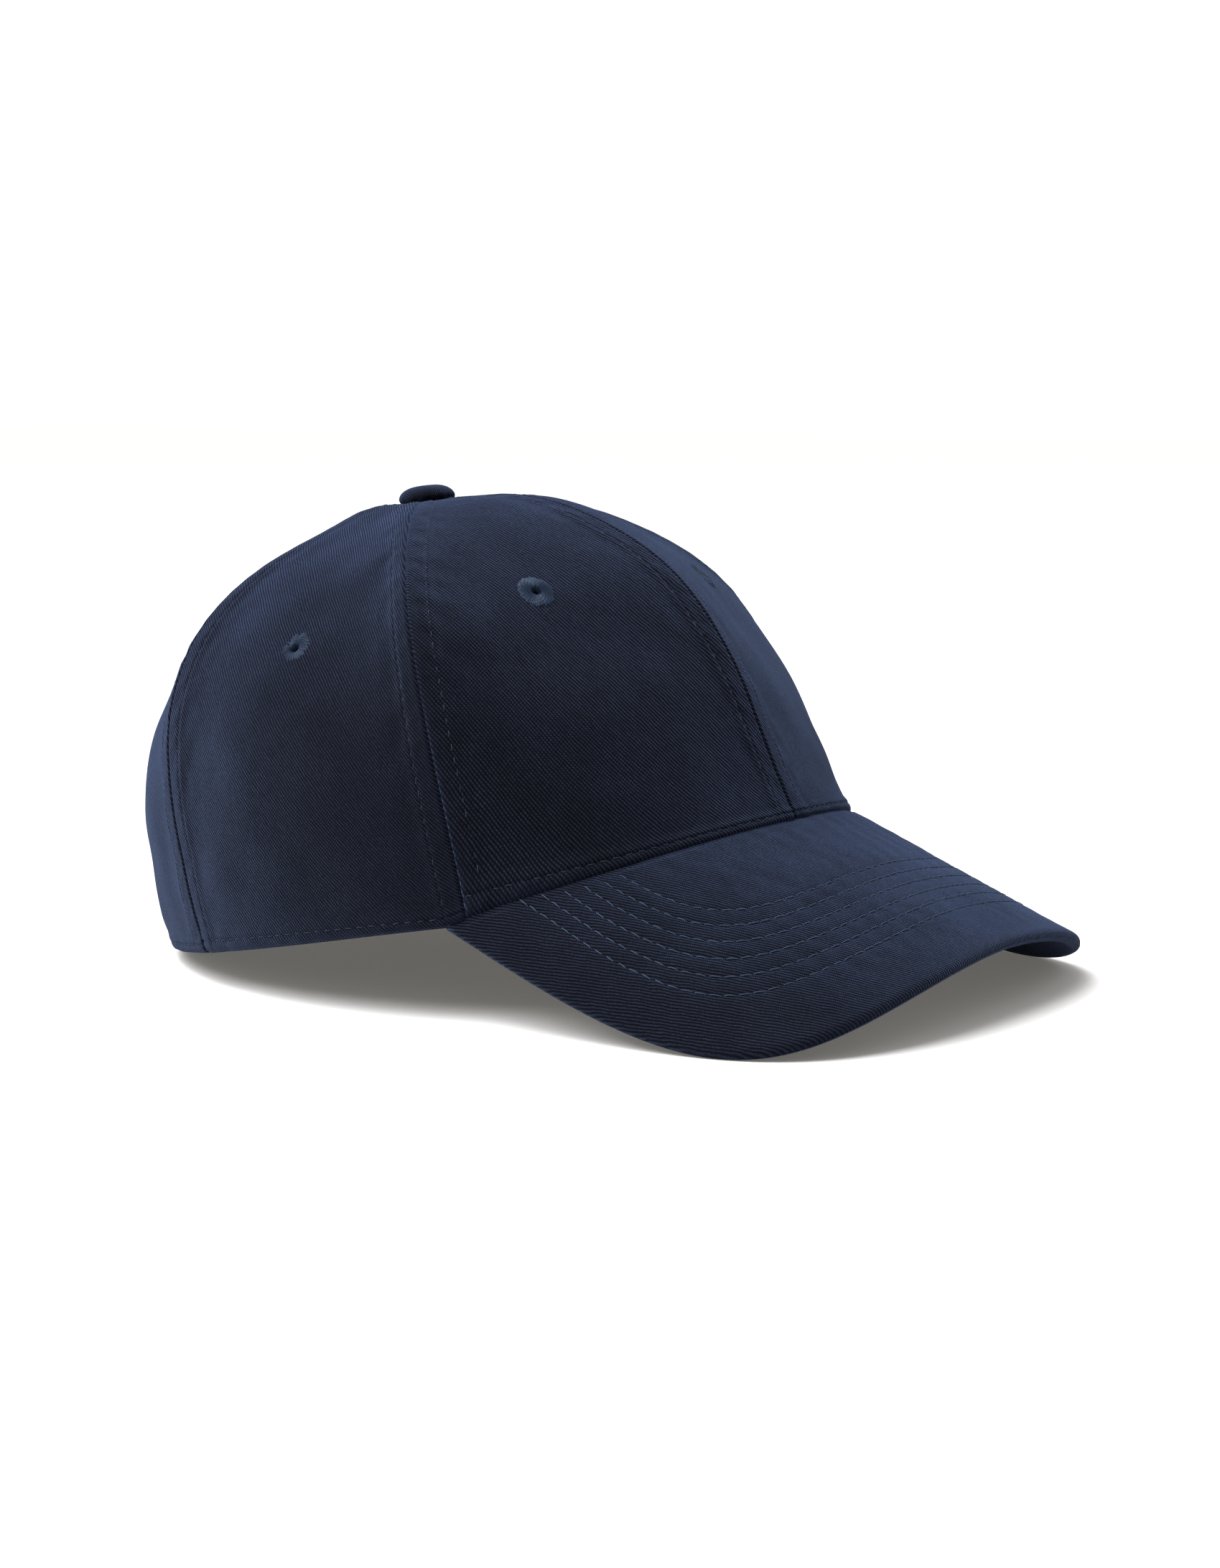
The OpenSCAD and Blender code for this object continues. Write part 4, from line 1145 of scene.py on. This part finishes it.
def stitch_rows():
    """The stitch rows in the flat, found along lines from the rim to the root."""
    phi = np.linspace(90, -90, 721)
    rim, root = edge_flat(phi, np.zeros(721)), root_flat(phi, 1.4)
    flat = rim + (root - rim) * np.linspace(0, 1, 300)[:, None, None]
    counted = row_distance(flat, rim_distance(flat))
    for row in STITCH_ROWS:
        line = []
        for places, count in zip(flat.swapaxes(0, 1), counted.T):
            if count.max() > row:
                last = int(np.argmax(count > row))
                part = (row - count[last - 1]) / (count[last] - count[last - 1])
                line.append(places[last - 1] * (1 - part) + places[last] * part)
        line = np.array(line)
        for _ in range(4):
            line[1:-1] = (line[:-2] + 2 * line[1:-1] + line[2:]) / 4
        yield line


def make_peak_stitches():
    top, under = Threads(), Threads()
    for k, line in enumerate(stitch_rows()):
        s, q = resample(line[outside_crown(line) > -0.8], 0.6).T
        for rows, depth, sign in ((top, 0.0, 1), (under, PEAK_T, -1)):
            p = peak_point(s, q, np.full(len(s), depth + 0.28 * sign))
            n = p - peak_point(s, q, np.full(len(s), depth + 1.28))
            rows.row(p, n * sign, pitch=3.5, gap=0.5, radius=0.15, lift=0.30, seed=110 + k)
    top.finish("stitches_peak_top", "cap", "twill_peak", "thread")
    under.finish("stitches_peak_under", "cap", "twill_under", "thread")


def resample(line, step):
    lengths = path_lengths(line)
    s = np.linspace(0, lengths[-1], max(2, int(lengths[-1] / step)))
    return np.stack([np.interp(s, lengths, line[:, k]) for k in range(line.shape[1])], -1)


make_peak()
make_peak_stitches()


# ---------------- back closure
def rear(angle, inset, z):
    """A point of the rear wall: plan angle (+ is the wearer's right), inset and height."""
    a = rad(90 + np.asarray(angle, float))
    r = REAR_R - np.asarray(inset, float)
    return np.stack(np.broadcast_arrays(r * np.cos(a), REAR_Y + r * np.sin(a), z), -1)


def make_strip(node, body, angles, inset, z0, z1, thick):
    """A flat strip of doubled twill along the rear wall, with rounded edges and two rows of stitches."""
    half_w, half_t = (z1 - z0) / 2, thick / 2
    insets = np.full(len(angles), inset)
    span = np.linspace(-1, 1, 15)
    groove = 0.14 * hump(np.abs(span) * half_w, half_w - 2.0, 0.45)
    face_out = np.stack([span * (half_w - half_t), half_t - groove], -1)
    bend = rad(np.linspace(90, -90, 7)[1:-1])
    top = np.stack([half_w - half_t + half_t * np.cos(bend), half_t * np.sin(bend)], -1)
    section = np.concatenate([face_out, top, face_out[::-1] * [1, -1], top[::-1] * [-1, 1]])
    lengths = path_lengths(rear(angles, insets, 0.0))
    grid = np.stack([rear(angle, inset - section[:, 1], (z0 + z1) / 2 + section[:, 0]) for angle in angles])
    rows, cols = grid.shape[:2]
    faces = [[i * cols + j, i * cols + (j + 1) % cols, (i + 1) * cols + (j + 1) % cols, (i + 1) * cols + j]
             for i in range(rows - 1) for j in range(cols)]
    faces += [list(range(cols))[::-1], list(range((rows - 1) * cols, rows * cols))]
    uv = turned_uv(*np.broadcast_arrays(lengths[:, None], section[:, 0]), 60.0)
    wear = np.tile(0.5 * hump(np.abs(section[:, 0]), half_w, 0.5), rows)
    obj = make_object(f"{node}_cloth", grid.reshape(-1, 3), faces, uv.reshape(-1, 2), wear)
    fix_normals(obj)
    cloth_piece(obj, node, "twill_strap", body=body)
    threads = Threads()
    for z in (z0 + 2.0, z1 - 2.0):
        for sign in (1, -1):
            p = resample(rear(angles, insets - sign * (half_t - 0.12), z), 1.0)
            n = sign * (p - [0, REAR_Y, 0]) * [1, 1, 0]
            threads.row(p, n, pitch=2.8, radius=0.15, lift=0.17, seed=130)
    threads.finish(f"stitches_{node}", body, "twill_strap")


make_strip("strap", "strap", np.linspace(-41, 42, 130), STRAP_IN + STRAP_T / 2, STRAP_Z, STRAP_Z + STRAP_W,
           STRAP_T - 0.05)
make_strip("buckle_tab", "cap", np.linspace(-43, PIN_ANGLE - 12.5 - 1.2, 40), 0.4 + 1.0 + 0.5, STRAP_Z + 0.6,
           STRAP_Z + STRAP_W - 0.6, 0.95)
for node, material in (("buckle_frame", "buckle_metal"), ("buckle_pin", "buckle_metal"),
                       ("buckle_lever", "buckle_metal"), ("button_shell", "metal"), ("button_shank", "metal"),
                       ("button_washer", "metal"), ("peak_board", "board")):
    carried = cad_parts[node]
    carried.data.materials.clear()
    carried.data.materials.append(MATERIALS[material])

# ---------------- floor, light and camera
floor_mesh = bpy.data.meshes.new("floor")
floor_mesh.from_pydata([(-6, -6, 0), (6, -6, 0), (6, 6, 0), (-6, 6, 0)], [], [(0, 1, 2, 3)])
paper = new_material("paper")
# the camera sees the floor brighter than the cap does, which keeps the cap's lower parts dark,
# and the floor glows a little, which keeps the shadows on it pale
paper_colour = paper.mix(paper.seen(), (0.6, 0.6, 0.6, 1.0), (0.93, 0.93, 0.925, 1.0))
floor_mesh.materials.append(paper.finish({
    "Base Color": paper_colour, "Roughness": 0.9, "Specular IOR Level": 0.1,
    "Emission Color": (1.0, 0.95, 0.86, 1.0), "Emission Strength": 0.12}))
link_object("floor", floor_mesh)

CAM_AZ, CAM_EL, CAM_DIST, CAM_FOCAL_PX, IMAGE_H = -55.755, 7.760, 0.81033, 4204.25, 2184
CAM_TARGET = Vector((0.006344, -0.004359, 0.048254))
LIGHT_TARGET = Vector((0, 0, 0.05))


def from_angles(azimuth, elevation, distance=1.0):
    az, el = math.radians(azimuth), math.radians(elevation)
    return Vector((math.sin(az) * math.cos(el), -math.cos(az) * math.cos(el), math.sin(el))) * distance


def aim(obj, target):
    obj.rotation_euler = (target - obj.location).to_track_quat("-Z", "Y").to_euler()


camera_data = bpy.data.cameras.new("camera")
camera_data.sensor_width = 36.0
camera_data.lens = 36.0 * CAM_FOCAL_PX / IMAGE_H
camera_data.clip_start, camera_data.clip_end = 0.01, 50.0
camera = link_object("camera", camera_data)
camera.location = CAM_TARGET + from_angles(CAM_AZ, CAM_EL, CAM_DIST)
aim(camera, CAM_TARGET)
bpy.context.scene.camera = camera


def softbox(name, azimuth, elevation, distance, size, power):
    """A rectangular light at so many metres and watts, aimed at the middle of the cap."""
    data = bpy.data.lights.new(name, "AREA")
    data.shape, data.size, data.size_y = "RECTANGLE", size[0], size[1]
    data.energy = power
    light = link_object(name, data)
    light.location = LIGHT_TARGET + from_angles(azimuth, elevation, distance)
    aim(light, LIGHT_TARGET)


softbox("light_top", -115, 72, 1.5, (1.2, 0.9), 17.0)
softbox("light_left", -140, 15, 1.2, (0.5, 0.8), 3.0)
softbox("light_right", 60, 35, 1.6, (0.7, 0.7), 0.6)
sun = bpy.data.lights.new("light_key", "SUN")
sun.energy, sun.angle = 2.5, math.radians(42)
key = link_object("light_key", sun)
key.location = from_angles(-118, 52, 3.0)
aim(key, Vector((0, 0, 0)))

world = bpy.data.worlds.new("studio")
bpy.context.scene.world = world
sky = Nodes(world, "Background")
# brighter overhead than at the horizon; the backdrop itself is plain white
height = sky.split(sky.new("ShaderNodeTexCoord").outputs["Generated"])[2]
dome = sky.scale_add(sky.math("MAXIMUM", height, 0.0), 0.45, 0.06)
backdrop = sky.new("ShaderNodeMix", {0: sky.seen(), 2: dome, 3: 1.15}, data_type="FLOAT")
sky.finish({"Strength": backdrop.outputs[0], "Color": (1.0, 1.0, 1.0, 1.0)})
bpy.context.scene.view_settings.view_transform = "Standard"
bpy.context.scene.view_settings.look = "None"
